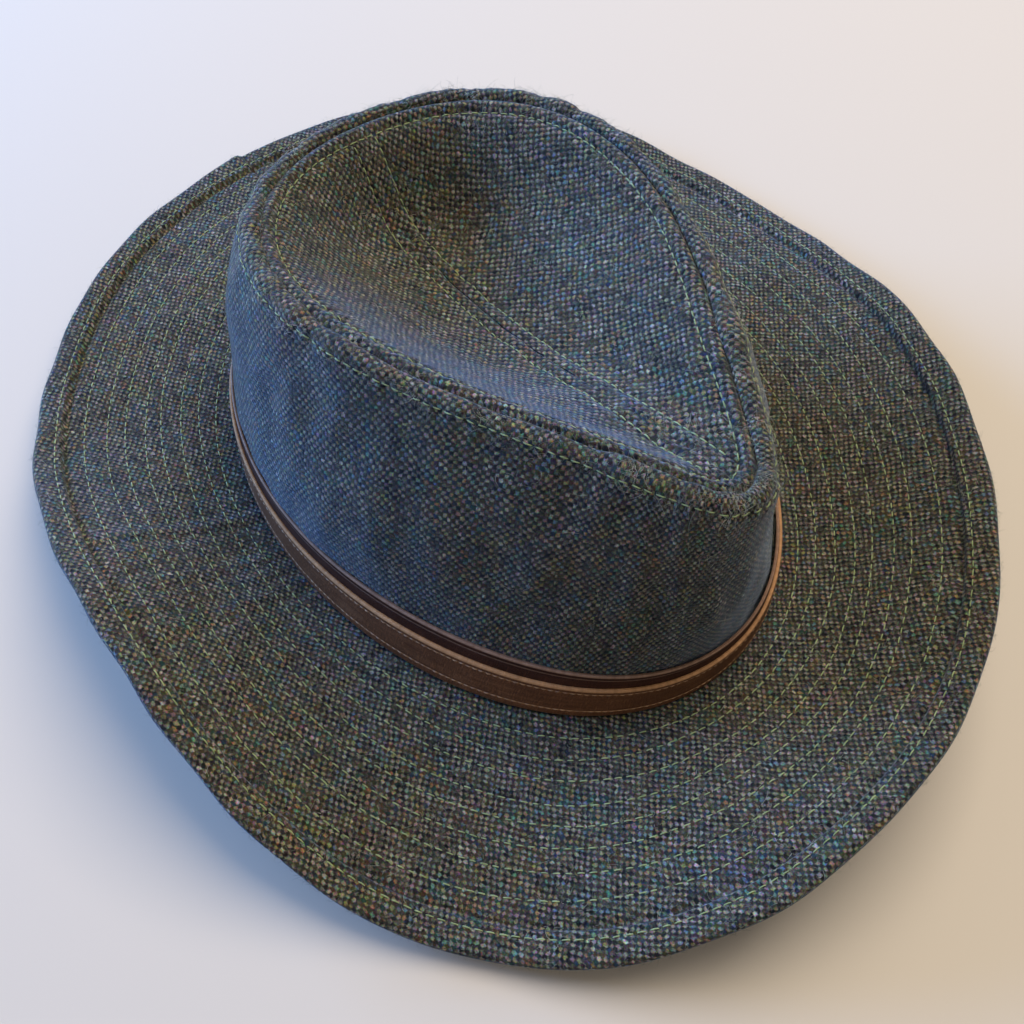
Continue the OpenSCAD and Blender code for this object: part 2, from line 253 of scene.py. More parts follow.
def edge_step(t):
    """The two ends of the edge do not meet quite level at the join."""
    d = dseam(t)
    return 1.25 * np.where(d > 0, np.exp(-np.abs(d) / 5), -np.exp(-np.abs(d) / 6)) * sstep(0, 0.7, np.abs(d)) + 0.25 * wob_mid(t, 0.7)


def brim_xyz(t, w, lift=0.0):
    t, w = np.broadcast_arrays(np.asarray(t, float), np.asarray(w, float))
    e = 0.15
    W = width(t)
    w2 = w + edge_step(t) * sstep(0.86, 1.0, w / W)
    P = brim_base(t, w2)
    N = unit(np.cross(brim_base(t, w2 + e) - P, brim_base(t + e, w2) - P))
    return P + N * (brim_relief(t, w) + lift)[..., None], N


HB = 1.95               # half thickness of the turned edge


def flat_uv(t, w):
    o, n = oval(t), out_of(oval, t)
    return np.stack([(o[..., 0] + n[..., 0] * w) / 1.11, (o[..., 1] + n[..., 1] * w) / 1.30], -1)


def brim_profile(t):
    """Rows from the crown out over the top, round the edge to its middle."""
    W = width(t)[None]
    k = np.linspace(0, 1, 92)
    ws = -3 + (W - HB + 3) * k[:, None]
    P, N = brim_xyz(t[None] + 0 * ws, ws)
    UV = flat_uv(t[None] + 0 * ws, ws)
    last, n0 = P[-1], N[-1]
    outd = unit(P[-1] - P[-2])
    rows, uvs = [], []
    for a in np.linspace(0, 90, 8)[1:]:
        rows.append(last + outd * HB * sind(a) - n0 * HB * (1 - cosd(a)))
        uvs.append(flat_uv(t, W[0] - HB + HB * math.radians(a)))
    return P, UV, N, outd, rows, uvs


def under_xyz(t, w):
    """Underside of the brim: the same quilted profile, mirrored about the middle of its thickness."""
    W = width(t)
    f = w / W
    P0, N0 = brim_xyz(t + 0 * w, w)
    R = brim_relief(t + 0 * w, w)
    base = P0 - N0 * R[..., None]
    puff = 0.0
    edges = [0.0 * f] + [row_f(i, t) for i in range(8)] + [CREASE + 0 * f]
    for a, b in zip(edges[:-1], edges[1:]):
        kk = np.clip((f - a) / (b - a), 0, 1)
        puff = puff + np.sqrt(np.clip(4 * kk * (1 - kk), 0, 1)) * ((f >= a) & (f < b))
    flatw = 0.55 * wob_low(t, f) * sstep(0.05, 0.6, f)
    h = 0.25 * puff * sstep(0.1, 0.3, f)
    bw = (f - CREASE) * W
    h = h + 0.3 * sstep(0, 2.2, bw) - 0.3 * bell(bw + 0.2, 0.9)
    return base - N0 * (BASE + h - flatw)[..., None], -N0


def make_brim():
    t = np.arange(0, 360, 0.5)
    W = width(t)
    P, UV, N, outd, rows, uvs = brim_profile(t)
    mid = rows[-1]
    # seam line at mid thickness, then the cloth's inner face
    groove = mid - outd * 1.1 + N[-1] * 0.1
    inner_w = [1.0, 0.97, 0.8, 0.6, 0.4, 0.2, 0.02]
    inner = []
    for f in inner_w:
        w = (W - HB) * f
        Q, M = brim_xyz(t, w)
        drop = 1.15 if f < 0.84 else 1.5
        inner.append(Q - M * drop)
    Q = P[0] - np.array([0, 0, 1.15])
    allP = np.concatenate([P, np.stack(rows), groove[None], np.stack(inner), Q[None]])
    gu = flat_uv(t, W + 1.5)
    iu = [flat_uv(t, (W - HB) * f) for f in inner_w] + [flat_uv(t, -3 + 0 * t)]
    allU = np.concatenate([UV, np.stack(uvs), gu[None], np.stack(iu)])
    top = ring_object("brim_upper_cloth", allP, allU, flip=False)

    urows, uuv = [], []
    ks = np.linspace(1, 0, 60)
    end, n0 = P[len(P) - 1], N[-1]
    low_c = mid
    for a in np.linspace(0, 90, 7)[:-1]:
        # from the seam at mid thickness round to the underside
        r = HB * 0.85
        urows.append(mid - n0 * (0.25 + r * sind(a)) - outd * (r * (1 - cosd(a)) + 0.25))
        uuv.append(flat_uv(t, W + 2 - r * math.radians(a)))
    for k in ks:
        w = -3 + (W - HB * 1.3 + 3) * k
        Q, M = under_xyz(t, w)
        urows.append(Q)
        uuv.append(flat_uv(t, w))
    nin = [0.02, 0.25, 0.5, 0.75, 0.95]
    for f in nin:
        w = (W - HB * 1.3) * f
        Q, M = under_xyz(t, w)
        M = -M
        urows.append(Q + M * 1.0)
        uuv.append(flat_uv(t, w))
    urows.append(mid - n0 * 0.3 - outd * 1.3)
    uuv.append(flat_uv(t, W))
    UP, UU = np.stack(urows), np.stack(uuv)
    und = ring_object("brim_under_cloth", UP, UU, flip=False)
    return top, und


def make_stiffener():
    t = np.arange(0, 360, 1.0)
    rows = []
    k = np.linspace(0.0, 1, 40)
    for d, ks in ((1.62, k), (2.2, k[::-1])):
        for x in ks:
            w = 0.4 + (width(t) - 6.0) * x
            f = w / width(t)
            P0, N0 = brim_xyz(t, w)
            low = 0.55 * wob_low(t, f) * sstep(0.05, 0.6, f)
            rows.append(P0 - N0 * (brim_relief(t, w) - low + d)[..., None])
    P = np.stack(rows)
    return ring_object("brim_stiffener_felt", P, P[..., :2].copy())


# ---- crown side wall
ROLL = 4.4
wob_side = Wob(21, 2, 8, 12, 0.2, 1.2)
wob_side2 = Wob(22, 14, 40, 18, 0.6, 2.5)


def wall_xyz_raw(t, s):
    """s from 0 at the brim to 1 where the roll begins, to 2 at the ridge seam."""
    t, s = np.broadcast_arrays(np.asarray(t, float), np.asarray(s, float))
    o, r = oval(t), ridge(t)
    n, m = out_of(oval, t), out_of(ridge, t)
    H = r[..., 2] - BASE
    x = np.clip(s, 0, 1)
    a = 90 - np.clip(s - 1, 0, 1) * 128          # 90 is outward, -38 leans into the seam
    nn = unit(n * (1 - x)[..., None] + m * x[..., None])
    bel = (2.1 + 1.5 * sind(t) + 0.8 * cosd(2 * (t - 165)))
    off = (1.6 + ROLL) * x + bel * 4 * x * (1 - x)
    wall_xy = o * (1 - x)[..., None] + r[..., :2] * x[..., None] + nn * off[..., None]
    wall_z = BASE + (H - 3.9) * x
    roll_xy = r[..., :2] + m * (1.6 + ROLL * sind(a))[..., None]
    roll_z = BASE + H - 3.9 + ROLL * cosd(a)
    k = (s > 1)
    xy = np.where(k[..., None], roll_xy, wall_xy)
    z = np.where(k, roll_z, wall_z)
    return np.concatenate([xy, z[..., None]], -1)


def wall_arc(s):
    """Rough distance in mm from the ridge seam, down the cloth."""
    return np.where(s > 1, (2 - s) * 9.8, 9.8 + (1 - s) * 86)


def ditch(t):
    """The ridge seam sinks deepest along the sides of the front, and is nearly filled out at the back left."""
    return 1 - 0.72 * bell(((t - 150 + 180) % 360) - 180, 42)


def wall_relief(t, s):
    d = wall_arc(s)
    x = np.clip(s, 0, 1)
    h = 0.7 * wob_side(t, x) * np.sin(math.pi * np.clip(x * 0.9, 0, 1)) + 0.22 * wob_side2(t, x) * sstep(0, 0.2, x)
    # puff between the topstitch row and the seam, pulled in at the row
    h = h + 0.45 * bell(d - 4.0, 2.6) - 0.5 * bell(d - 7.4, 1.0) - 0.9 * ditch(t) * bell(d, 1.0)
    h = h + 0.10 * wob_puck(t, 0) * bell(d - 7.4, 4.0)
    # join at the back, pressed open
    ds = ((t - 90 + 180) % 360 - 180) * 1.7
    h = h - 0.6 * bell(ds, 0.7) + 0.3 * bell(np.abs(ds) - 3.2, 2.2)
    return h


def wall_xyz(t, s, lift=0.0):
    t, s = np.broadcast_arrays(np.asarray(t, float), np.asarray(s, float))
    P = wall_xyz_raw(t, s)
    e = 0.02
    N = unit(np.cross(wall_xyz_raw(t + 0.2, s) - wall_xyz_raw(t - 0.2, s), wall_xyz_raw(t, s + e) - wall_xyz_raw(t, s - e)))
    return P + N * (wall_relief(t, s) + lift)[..., None], N


PERIM = 590.0


def side_uv(T, S):
    """The side panel lies flat as a curved strip, straight grain at the front, joined at the back."""
    h = 95.8 - wall_arc(S)
    tt = np.arange(90, 451, 1.0)
    arc = np.concatenate([[0], np.cumsum(np.linalg.norm(np.diff(oval(tt), axis=0), axis=1))])
    ph = (np.interp(T, tt, arc) - arc[180]) / 423
    rho = 423 - h
    return np.stack([rho * np.sin(ph) / 1.13, rho * np.cos(ph) / 1.26], -1)


def make_side():
    t = np.arange(90, 450, 0.5)
    s = np.concatenate([np.linspace(0, 0.86, 52), np.linspace(0.875, 1, 12), np.linspace(1.04, 2, 26)])
    S, T = np.meshgrid(s, t, indexing="ij")
    P, N = wall_xyz(T, S)
    UV = side_uv(T, S)
    inner_s = np.array([1.98, 1.7, 1.3, 1.0, 0.8, 0.6, 0.4, 0.2, 0.0])
    S2, T2 = np.meshgrid(inner_s, t, indexing="ij")
    Q, M = wall_xyz(T2, S2)
    Q = Q - M * 1.15
    UV2 = side_uv(T2, S2)
    return ring_object("crown_side_cloth", np.concatenate([P, Q]), np.concatenate([UV, UV2]), flip=False)


# ---- tip
wob_tip = Wob(31, 2, 6, 12, 0.3, 1.4)
wob_tip2 = Wob(32, 10, 26, 16, 1.0, 4.0)


def tip_raw(t, u):
    t, u = np.broadcast_arrays(np.asarray(t, float), np.asarray(u, float))
    c, r = spine(t), ridge(t)
    back = sstep(0.1, 1.0, sind(t))
    front = sstep(0.1, 0.9, -sind(t))
    L = np.linalg.norm(r[..., :2] - c[..., :2], axis=-1)
    # the last few mm under the topstitching lie nearly level
    d = (1 - u) * L
    lev = 6.0
    uu = np.clip(1 - np.logaddexp(0, (d - lev) / 1.5) * 1.5 / (L - lev), 0, 1)
    q = 2.5 - 0.9 * front
    steep = (1 - np.cos(math.pi * uu ** (1 + 0.6 * back))) / 2
    m = 0.3 * (1 - front) + 0.3 * back
    g = (1 - m) * uu**q + m * steep
    xy = c[..., :2] + (r[..., :2] - c[..., :2]) * u[..., None]
    z = c[..., 2] + (r[..., 2] - 0.5 - c[..., 2]) * g - 0.10 * np.minimum(d, lev)
    return np.concatenate([xy, z[..., None]], -1)


def tip_len(t):
    c, r = spine(t), ridge(t)
    return np.linalg.norm(r[..., :2] - c[..., :2], axis=-1)


def tip_relief(t, u, x, y):
    d = (1 - u) * tip_len(t) * 1.12          # mm from the ridge seam
    h = 0.7 * wob_tip(t, u) * np.sin(math.pi * np.clip(u, 0, 1)) + 0.2 * wob_tip2(t, u) * (1 - u)
    h = h + 1.0 * bell(d - 3.1, 2.4) - 0.55 * bell(d - 6.2, 1.0) - 1.5 * ditch(t) * bell(d, 1.05)
    h = h + 0.10 * wob_puck(t, 0) * bell(d - 6.2, 4.0)
    ax = np.abs(x)
    m = sstep(2.0, 7.0, d)
    h = h + m * (-0.28 * bell(ax, 0.6) + 0.22 * bell(ax - 2.0, 1.4) - 0.32 * bell(ax - 3.9, 0.9))
    return h


def tip_xyz(t, u, lift=0.0):
    t, u = np.broadcast_arrays(np.asarray(t, float), np.asarray(u, float))
    P = tip_raw(t, u)
    e = 0.004
    # normal from the height field, which stays sound on the centre line
    a = tip_raw(t, np.clip(u + e, 0, 1)) - tip_raw(t, np.clip(u - e, 0, 1))
    b = tip_raw(t + 0.3, u) - tip_raw(t - 0.3, u)
    bl = np.linalg.norm(b, axis=-1, keepdims=True)
    yy = np.concatenate([np.zeros_like(b[..., :1]), np.ones_like(b[..., :1]), np.zeros_like(b[..., :1])], -1)
    b = np.where(bl < 1e-3, yy, b)
    N = unit(np.cross(a, b))
    N = np.where(N[..., 2:] < 0, -N, N)
    # beside the centre seam the faces lean no more than the dish itself does
    near = (1 - sstep(0.05, 0.16, u))[..., None]
    up = np.array([0.0, 0.35, 1.0]) * near
    N = unit(N * (1 - near * (N[..., 2:] < 0.6)) + up * (N[..., 2:] < 0.6))
    return P + N * (tip_relief(t, u, P[..., 0], P[..., 1]) + lift)[..., None], N


def make_tip(side):
    """side +1 is the wearer's left."""
    t = np.linspace(-90, 90, 361)
    u = np.concatenate([np.linspace(0, 0.18, 20), np.linspace(0.2, 0.8, 34), np.linspace(0.815, 1, 26)])
    U, T = np.meshgrid(u, t, indexing="ij")
    if side < 0:
        T = 180 - T
    P, N = tip_xyz(T, U)
    P[..., 0] = np.where(U == 0, 0.02 * side, P[..., 0])
    P[:, 0, 0] = P[:, -1, 0] = 0.02 * side
    N[:, 0] = N[:, 1]
    N[:, -1] = N[:, -2]
    # laid flat: each point moves out from the centre seam by its distance over the cloth
    L = np.concatenate([np.zeros((1, len(t))), np.cumsum(np.linalg.norm(np.diff(tip_raw(T, U), axis=0), axis=-1), 0)])
    tc = T[0]
    c, r = spine(tc)[:, :2], ridge(tc)[:, :2]
    dirn = unit(r - c)
    flat = c[None] + dirn[None] * L[..., None]
    UV = flat / np.array([1.23, 1.43])
    iu = np.array([0.985, 0.9, 0.75, 0.6, 0.45, 0.3, 0.15, 0.03])
    # closed profile: out along the face, back along the inner side
    U2, T2 = np.meshgrid(iu, t, indexing="ij")
    if side < 0:
        T2 = 180 - T2
    Q, M = tip_xyz(T2, U2)
    Q = Q - M * 1.1
    Q[:, 0, 0] = Q[:, -1, 0] = 0.02 * side
    L2 = np.stack([[np.interp(v, U[:, 0], L[:, j]) for j in range(len(t))] for v in iu])
    UV2 = (c[None] + dirn[None] * L2[..., None]) / np.array([1.23, 1.43])
    A, B = np.concatenate([P, Q]), np.concatenate([UV, UV2])
    r, c = A.shape[:2]
    f, (i, j) = grid_faces(r, c, True, False)
    i1 = (i + 1) % r
    uv = np.stack([B[i, j], B[i, j + 1], B[i1, j + 1], B[i1, j]], 1)
    if side > 0:
        pass
    else:
        f, uv = f[:, ::-1], uv[:, ::-1]
    ob = new_object("crown_tip_left_cloth" if side > 0 else "crown_tip_right_cloth", A.reshape(-1, 3), f[:, ::-1], uv[:, ::-1])
    return ob


def make_interlinings():
    t = np.arange(0, 360, 1.0)
    rows = []
    k = np.concatenate([np.linspace(0.02, 1, 30), np.linspace(1.06, 1.9, 10)])
    for d, ks in ((1.24, k), (1.62, k[::-1])):
        for s in ks:
            P, N = wall_xyz(t, s)
            rows.append(P - N * d)
    P = np.stack(rows)
    side = ring_object("crown_side_canvas", P, P[..., :2].copy())
    rows = []
    k = np.linspace(0.96, 0.02, 40)
    for d, ks in ((1.2, k), (1.58, k[::-1])):
        for u in ks:
            P, N = tip_xyz(t, u)
            rows.append(P - N * d)
    P = np.stack(rows)
    # the middle is shut on each face, so the layer is a plain dish
    r, c = P.shape[:2]
    f, _ = grid_faces(r, c, True, True)
    tip = new_object("crown_tip_canvas", P.reshape(-1, 3), f, np.repeat(P.reshape(-1, 3)[f][:, :, :2], 1, 0))
    return side, tip


# ------------------------------------------------------------------ sewing
def stitches(name, paths, pitch=3.35, length=2.6, rad=0.20, high=0.27, closed=True, sides=6, rings=7, jit=0.09, seed=1):
    """paths: list of (points, normals) sampled finely along a row, in mm."""
    g = np.random.default_rng(seed)
    V, F = [], []
    base = 0
    for P, N in paths:
        if closed:
            P, N = np.concatenate([P, P[:1]]), np.concatenate([N, N[:1]])
        seg = np.linalg.norm(np.diff(P, axis=0), axis=1)
        arc = np.concatenate([[0], np.cumsum(seg)])
        n = max(int(round(arc[-1] / pitch)), 1)
        p = arc[-1] / n
        start = (np.arange(n) + 0.5 * (1 - length / pitch)) * p + g.normal(0, jit, n)
        ln = length * p / pitch * (1 + g.normal(0, 0.05, n))
        k = np.linspace(0, 1, rings)
        A = start[:, None] + ln[:, None] * k[None]
        pts = np.stack([np.interp(A, arc, P[:, a]) for a in range(3)], -1)
        nor = unit(np.stack([np.interp(A, arc, N[:, a]) for a in range(3)], -1))
        tan = unit(np.gradient(pts, axis=1))
        sidev = unit(np.cross(tan, nor))
        slant = g.normal(0, 0.05, n)[:, None] * (k[None] - 0.5) * 2
        prof = np.sin(math.pi * k) ** 0.55
        hgt = (prof * (high + 0.12) - 0.12)[None] * (1 + g.normal(0, 0.12, n)[:, None]) - np.abs(g.normal(0, 0.07, n))[:, None]
        centre = pts + nor * hgt[..., None] + sidev * slant[..., None]
        rr = rad * (0.45 + 0.55 * prof)[None, :, None, None] * (1 + g.normal(0, 0.06, n)[:, None, None, None])
        ang = np.linspace(0, 2 * math.pi, sides, endpoint=False)
        ringv = centre[:, :, None] + rr * (np.cos(ang)[None, None, :, None] * sidev[:, :, None] + np.sin(ang)[None, None, :, None] * nor[:, :, None])
        V.append(ringv.reshape(-1, 3))
        ff, _ = grid_faces(rings, sides, False, True)
        cap = []
        off = np.arange(n) * rings * sides + base
        F.append((ff[None] + off[:, None, None]).reshape(-1, 4))
        # end caps as quads over six sides
        for ring in (0, rings - 1):
            q = np.array([[0, 1, 2, 3], [0, 3, 4, 5]]) + ring * sides
            if ring == 0:
                q = q[:, ::-1]
            F.append((q[None] + off[:, None, None]).reshape(-1, 4))
        base += n * rings * sides
    return new_object(name, np.concatenate(V), np.concatenate(F))


def fine(n=2400):
    return np.linspace(0, 360, n, endpoint=False)


def brim_stitches():
    t = fine()
    paths = []
    for i in range(8):
        w = row_f(i, t) * width(t)
        P, N = brim_xyz(t, w)
        paths.append((P, N))
    rows = stitches("brim_quilting_thread", paths, seed=41)
    w = (EDGE_ROW + 0.0015 * wob_row(t)) * width(t)
    P, N = brim_xyz(t, w)
    edge = stitches("brim_edge_thread", [(P, N)], seed=42)
    # the bobbin thread of the same rows, under the brim
    paths = [under_xyz(t, row_f(i, t) * width(t)) for i in range(8)]
    urows = stitches("brim_quilting_bobbin", paths, seed=45)
    uedge = stitches("brim_edge_bobbin", [under_xyz(t, w)], seed=46)
    return rows, edge, urows, uedge


def s_of_arc(d):
    return np.where(d < 9.8, 2 - d / 9.8, 1 - (d - 9.8) / 86)


def ridge_stitches():
    t = fine(2000)
    s = s_of_arc(7.4 + 0.25 * wob_row(t))
    P, N = wall_xyz(t, s)
    outer = stitches("ridge_outer_thread", [(P, N)], pitch=3.2, length=2.5, seed=43)
    u = 1 - (6.2 + 0.25 * wob_row(t + 100)) / (tip_len(t) * 1.12)
    P, N = tip_xyz(t, u)
    inner = stitches("ridge_inner_thread", [(P, N)], pitch=3.2, length=2.5, seed=44)
    return outer, inner


def tip_at(x, y):
    """u, t of a point on the tip's face: solve by a fine table."""
    t = np.linspace(-90, 90, 1441)
    if x < 0:
        t = 180 - t
    u = np.abs(x) / np.maximum(np.abs(ridge(t)[:, 0]), 1e-6)
    ok = u <= 1
    c, r = spine(t), ridge(t)
    yy = c[:, 1] + (r[:, 1] - c[:, 1]) * u
    yy = np.where(ok, yy, 1e9)
    return t, u, yy, ok


def seam_stitches():
    paths = []
    for sx in (-3.9, 3.9):
        t, u, yy, ok = tip_at(sx, 0)
        t, u, yy = t[ok], u[ok], yy[ok]
        o = np.argsort(yy)
        ys = np.linspace(-88, 75.0, 900)
        tt, uu = np.interp(ys, yy[o], t[o]), np.interp(ys, yy[o], u[o])
        P, N = tip_xyz(tt, uu)
        paths.append((P, N))
    return stitches("tip_seam_thread", paths, pitch=3.3, length=2.7, closed=False, seed=45)


# ------------------------------------------------------------------ bands round the crown
def wall_at(t, z, out):
    """A point out mm off the crown cloth's plain face at height z above the brim."""
    r = ridge(t)
    x = z / (r[..., 2] - BASE - 3.9)
    P = wall_xyz_raw(t, x)
    n = out_of(oval, t)
    return np.concatenate([P[..., :2] + n * np.asarray(out)[..., None], P[..., 2:]], -1)


def band_ring(name, z0, z1, inn, thick, rnd, gapf=None, nt=720, rows=16, lines=(), wav=None, tin=None, H=17.5):
    """Rounded strip of leather or tape: outer face, rounded edges and inner face."""
    t = np.linspace(0, 360, nt, endpoint=False) if tin is None else tin
    wv = wav(t) if wav is not None else 0 * t
    hgt = z1 - z0
    prof = []
    r = min(rnd, thick / 2)
    for a in np.linspace(-90, 0, 6):
        prof.append((z0 + r + r * sind(a), inn + thick - r + r * cosd(a)))
    for k in np.linspace(0, 1, rows)[1:-1]:
        z = z0 + r + (hgt - 2 * r) * k
        d = 0
        for (zl, wl, dl) in lines:
            d += dl * math.exp(-((z - zl) / wl) ** 2)
        prof.append((z, inn + thick + d))
    for a in np.linspace(0, 90, 6):
        prof.append((z1 - r + r * sind(a), inn + thick - r + r * cosd(a)))
    for k in (1, 0.66, 0.33, 0):
        prof.append((z0 + 0.05 + (hgt - 0.1) * k, inn))
    P, UV = [], []
    arc = 0
    pz, po = prof[0]
    girth = PERIM * np.asarray(t) / 360
    for z, o in prof:
        arc += math.hypot(z - pz, o - po)
        pz, po = z, o
        zt = min(max((z - BZ) / H, 0.0), 1.0)
        P.append(wall_at(t, z + wv * (0.3 + 0.7 * zt), o + gapf(t, zt)))
        UV.append(np.stack([girth, z - z0 + 0 * girth], -1))
    P, UV = np.stack(P), np.stack(UV)
    if tin is None:
        return ring_object(name, P, UV, flip=False)
    r_, c_ = P.shape[:2]
    f, (i, j) = grid_faces(r_, c_, True, False)
    i1 = (i + 1) % r_
    uv = np.stack([UV[i, j], UV[i, j + 1], UV[i1, j + 1], UV[i1, j]], 1)
    ob = new_object(name, P.reshape(-1, 3), f, uv)
    return ob


BZ = 1.1


def band_gap(t, zt):
    """How far the band stands off the wall: it leans away at its foot in front, and at its top on one side."""
    top = 0.1 + 0.9 * bell(((t - 290 + 180) % 360) - 180, 26)
    foot = 0.1 + 1.3 * bell(((t - 245 + 180) % 360) - 180, 50) + 0.5 * bell(((t - 60 + 180) % 360) - 180, 60)
    return top * zt + foot * (1 - zt) ** 1.3


wob_band = Wob(61, 2, 5, 6, 0, 0)


def band_wave(t):
    return 0.35 * wob_band(t)


def make_bands():
    H, h = 17.5, 12.2
    base = band_ring("hatband_base_leather", BZ, BZ + H, 0.12, 0.9, 0.45, band_gap, rows=56, wav=band_wave, H=H,
                     lines=[(BZ + H - 2.0, 0.32, -0.22), (BZ + H - 1.1, 0.6, 0.10)])
    strap = band_ring("hatband_strap_leather", BZ + 0.2, BZ + h, 1.1, 1.1, 0.55, band_gap, rows=56, wav=band_wave, H=H,
                      lines=[(BZ + h - 1.8, 0.35, -0.2), (BZ + 2.5, 0.35, -0.2), (BZ + h - 0.9, 0.5, 0.08)])
    t = fine(2600)
    rows = []
    for nm, z, sd in (("hatband_upper_thread", BZ + h - 1.8, 51), ("hatband_lower_thread", BZ + 2.5, 52)):
        zt = (z - BZ) / H
        g = band_gap(t, zt)
        zz = z + band_wave(t) * (0.3 + 0.7 * zt)
        P = wall_at(t, zz, 1.1 + 1.1 - 0.2 + g)
        n = out_of(oval, t)
        N = np.concatenate([n, 0 * n[..., :1]], -1)
        rows.append(stitches(nm, [(P, N)], pitch=2.1, length=1.85, rad=0.17, high=0.2, jit=0.04, seed=sd))
    tk = np.linspace(10.5, 19.5, 60)
    keep = band_ring("hatband_keeper_leather", BZ - 0.1, BZ + h + 0.7, 2.45, 1.1, 0.5, band_gap, rows=24, wav=band_wave, tin=tk, H=H,
                     lines=[(BZ + 1.0, 0.4, -0.15), (BZ + h - 0.6, 0.4, -0.15)])
    return base, strap, rows[0], rows[1], keep


# ------------------------------------------------------------------ inside
def inner_ring(name, z0, z1, depth, thick, rows=24, nt=480, fold=0.0):
    t = np.linspace(0, 360, nt, endpoint=False)
    prof = [(z0 + (z1 - z0) * k, depth + fold * math.sin(math.pi * k)) for k in np.linspace(0, 1, rows)]
    prof += [(z0 + (z1 - z0) * k, depth + thick + fold * math.sin(math.pi * k)) for k in np.linspace(1, 0, rows)]
    P, UV = [], []
    girth = PERIM * t / 360
    for z, d in prof:
        P.append(wall_at(t, z, 0 * t - d))
        UV.append(np.stack([girth, z + 0 * t], -1))
    return ring_object(name, np.stack(P), np.stack(UV), flip=True)


def make_lining():
    t = np.linspace(0, 360, 480, endpoint=False)
    rows, uv = [], []
    g = PERIM * t / 360
    wr = Wob(71, 20, 60, 20, 0.4, 1.6)
    for s in np.linspace(0.0, 0.86, 40):
        P, N = wall_xyz(t, s)
        rows.append(P - N * (2.75 + 0.16 * wr(t, s * 2)[:, None]))
        uv.append(np.stack([g, s * 86 + 0 * t], -1))
    for s in np.linspace(0.86, 0.0, 12):
        P, N = wall_xyz(t, s)
        rows.append(P - N * 2.4)
        uv.append(np.stack([g, s * 86 + 0 * t], -1))
    side = ring_object("lining_side_satin", np.stack(rows), np.stack(uv), flip=True)
    # tip of the lining: an oval disc that follows the dish, hemmed to the side
    rows, uv = [], []
    for u in np.concatenate([np.linspace(1.0, 0.04, 46), [0.0]]):
        tt = t
        P, N = tip_xyz(tt, np.full_like(tt, u))
        P = P - N * 2.4
        if u > 0.9:
            k = (u - 0.9) / 0.1
            m = out_of(ridge, tt)
            P = P + np.concatenate([m * (k * 3.0), -k * 6.0 * np.ones_like(m[:, :1])], -1)
        P = P - np.array([0, 0, 0.5])
        rows.append(P)
        uv.append(P[:, :2].copy())
    for u in np.concatenate([[0.0], np.linspace(0.04, 1.0, 14)]):
        P, N = tip_xyz(t, np.full_like(t, u))
        P = P - N * 2.1
        if u > 0.9:
            k = (u - 0.9) / 0.1
            m = out_of(ridge, t)
            P = P + np.concatenate([m * (k * 3.0), -k * 6.0 * np.ones_like(m[:, :1])], -1)
        P = P - np.array([0, 0, 0.2])
        rows.append(P)
        uv.append(P[:, :2].copy())
    P, U = np.stack(rows), np.stack(uv)
    r, c = P.shape[:2]
    f, (i, j) = grid_faces(r, c, True, True)
    i1, j1 = (i + 1) % r, (j + 1) % c
    uvq = np.stack([U[i, j], U[i, j1], U[i1, j1], U[i1, j]], 1)
    tip = new_object("lining_tip_satin", P.reshape(-1, 3), f, uvq)
    return side, tip


def make_inside():
    side, tip = make_lining()
    sweat = inner_ring("sweatband_tape", 0.4, 30, 3.0, 1.0, fold=0.35)
    t = fine(2200)
    P = wall_at(t, 3.6 + 0 * t, 0 * t - 4.12)
    n = out_of(oval, t)
    N = -np.concatenate([n, 0 * n[..., :1]], -1)
    st = stitches("sweatband_thread", [(P, N)], pitch=3.0, length=2.3, rad=0.2, high=0.2, seed=55)
    tk = np.linspace(81, 99, 60)
    zz = np.linspace(12, 40, 24)
    Z, T = np.meshgrid(zz, tk, indexing="ij")
    A = wall_at(T, Z, 0 * T - (4.6 + 0.5 * np.sin(math.pi * (Z - 12) / 28) + 0.25 * np.sin(np.radians((T - 81) * 20))))
    B = wall_at(T, Z, 0 * T - (4.3 + 0.5 * np.sin(math.pi * (Z - 12) / 28) + 0.25 * np.sin(np.radians((T - 81) * 20))))
    P = np.concatenate([A, B[::-1]])
    U = np.stack([PERIM * np.concatenate([T, T[::-1]]) / 360, np.concatenate([Z, Z[::-1]])], -1)
    r, c = P.shape[:2]
    f, (i, j) = grid_faces(r, c, True, False)
    i1 = (i + 1) % r
    uv = np.stack([U[i, j], U[i, j + 1], U[i1, j + 1], U[i1, j]], 1)
    lab = new_object("blank_label_tape", P.reshape(-1, 3), f[:, ::-1], uv[:, ::-1])
    return side, tip, sweat, st, lab


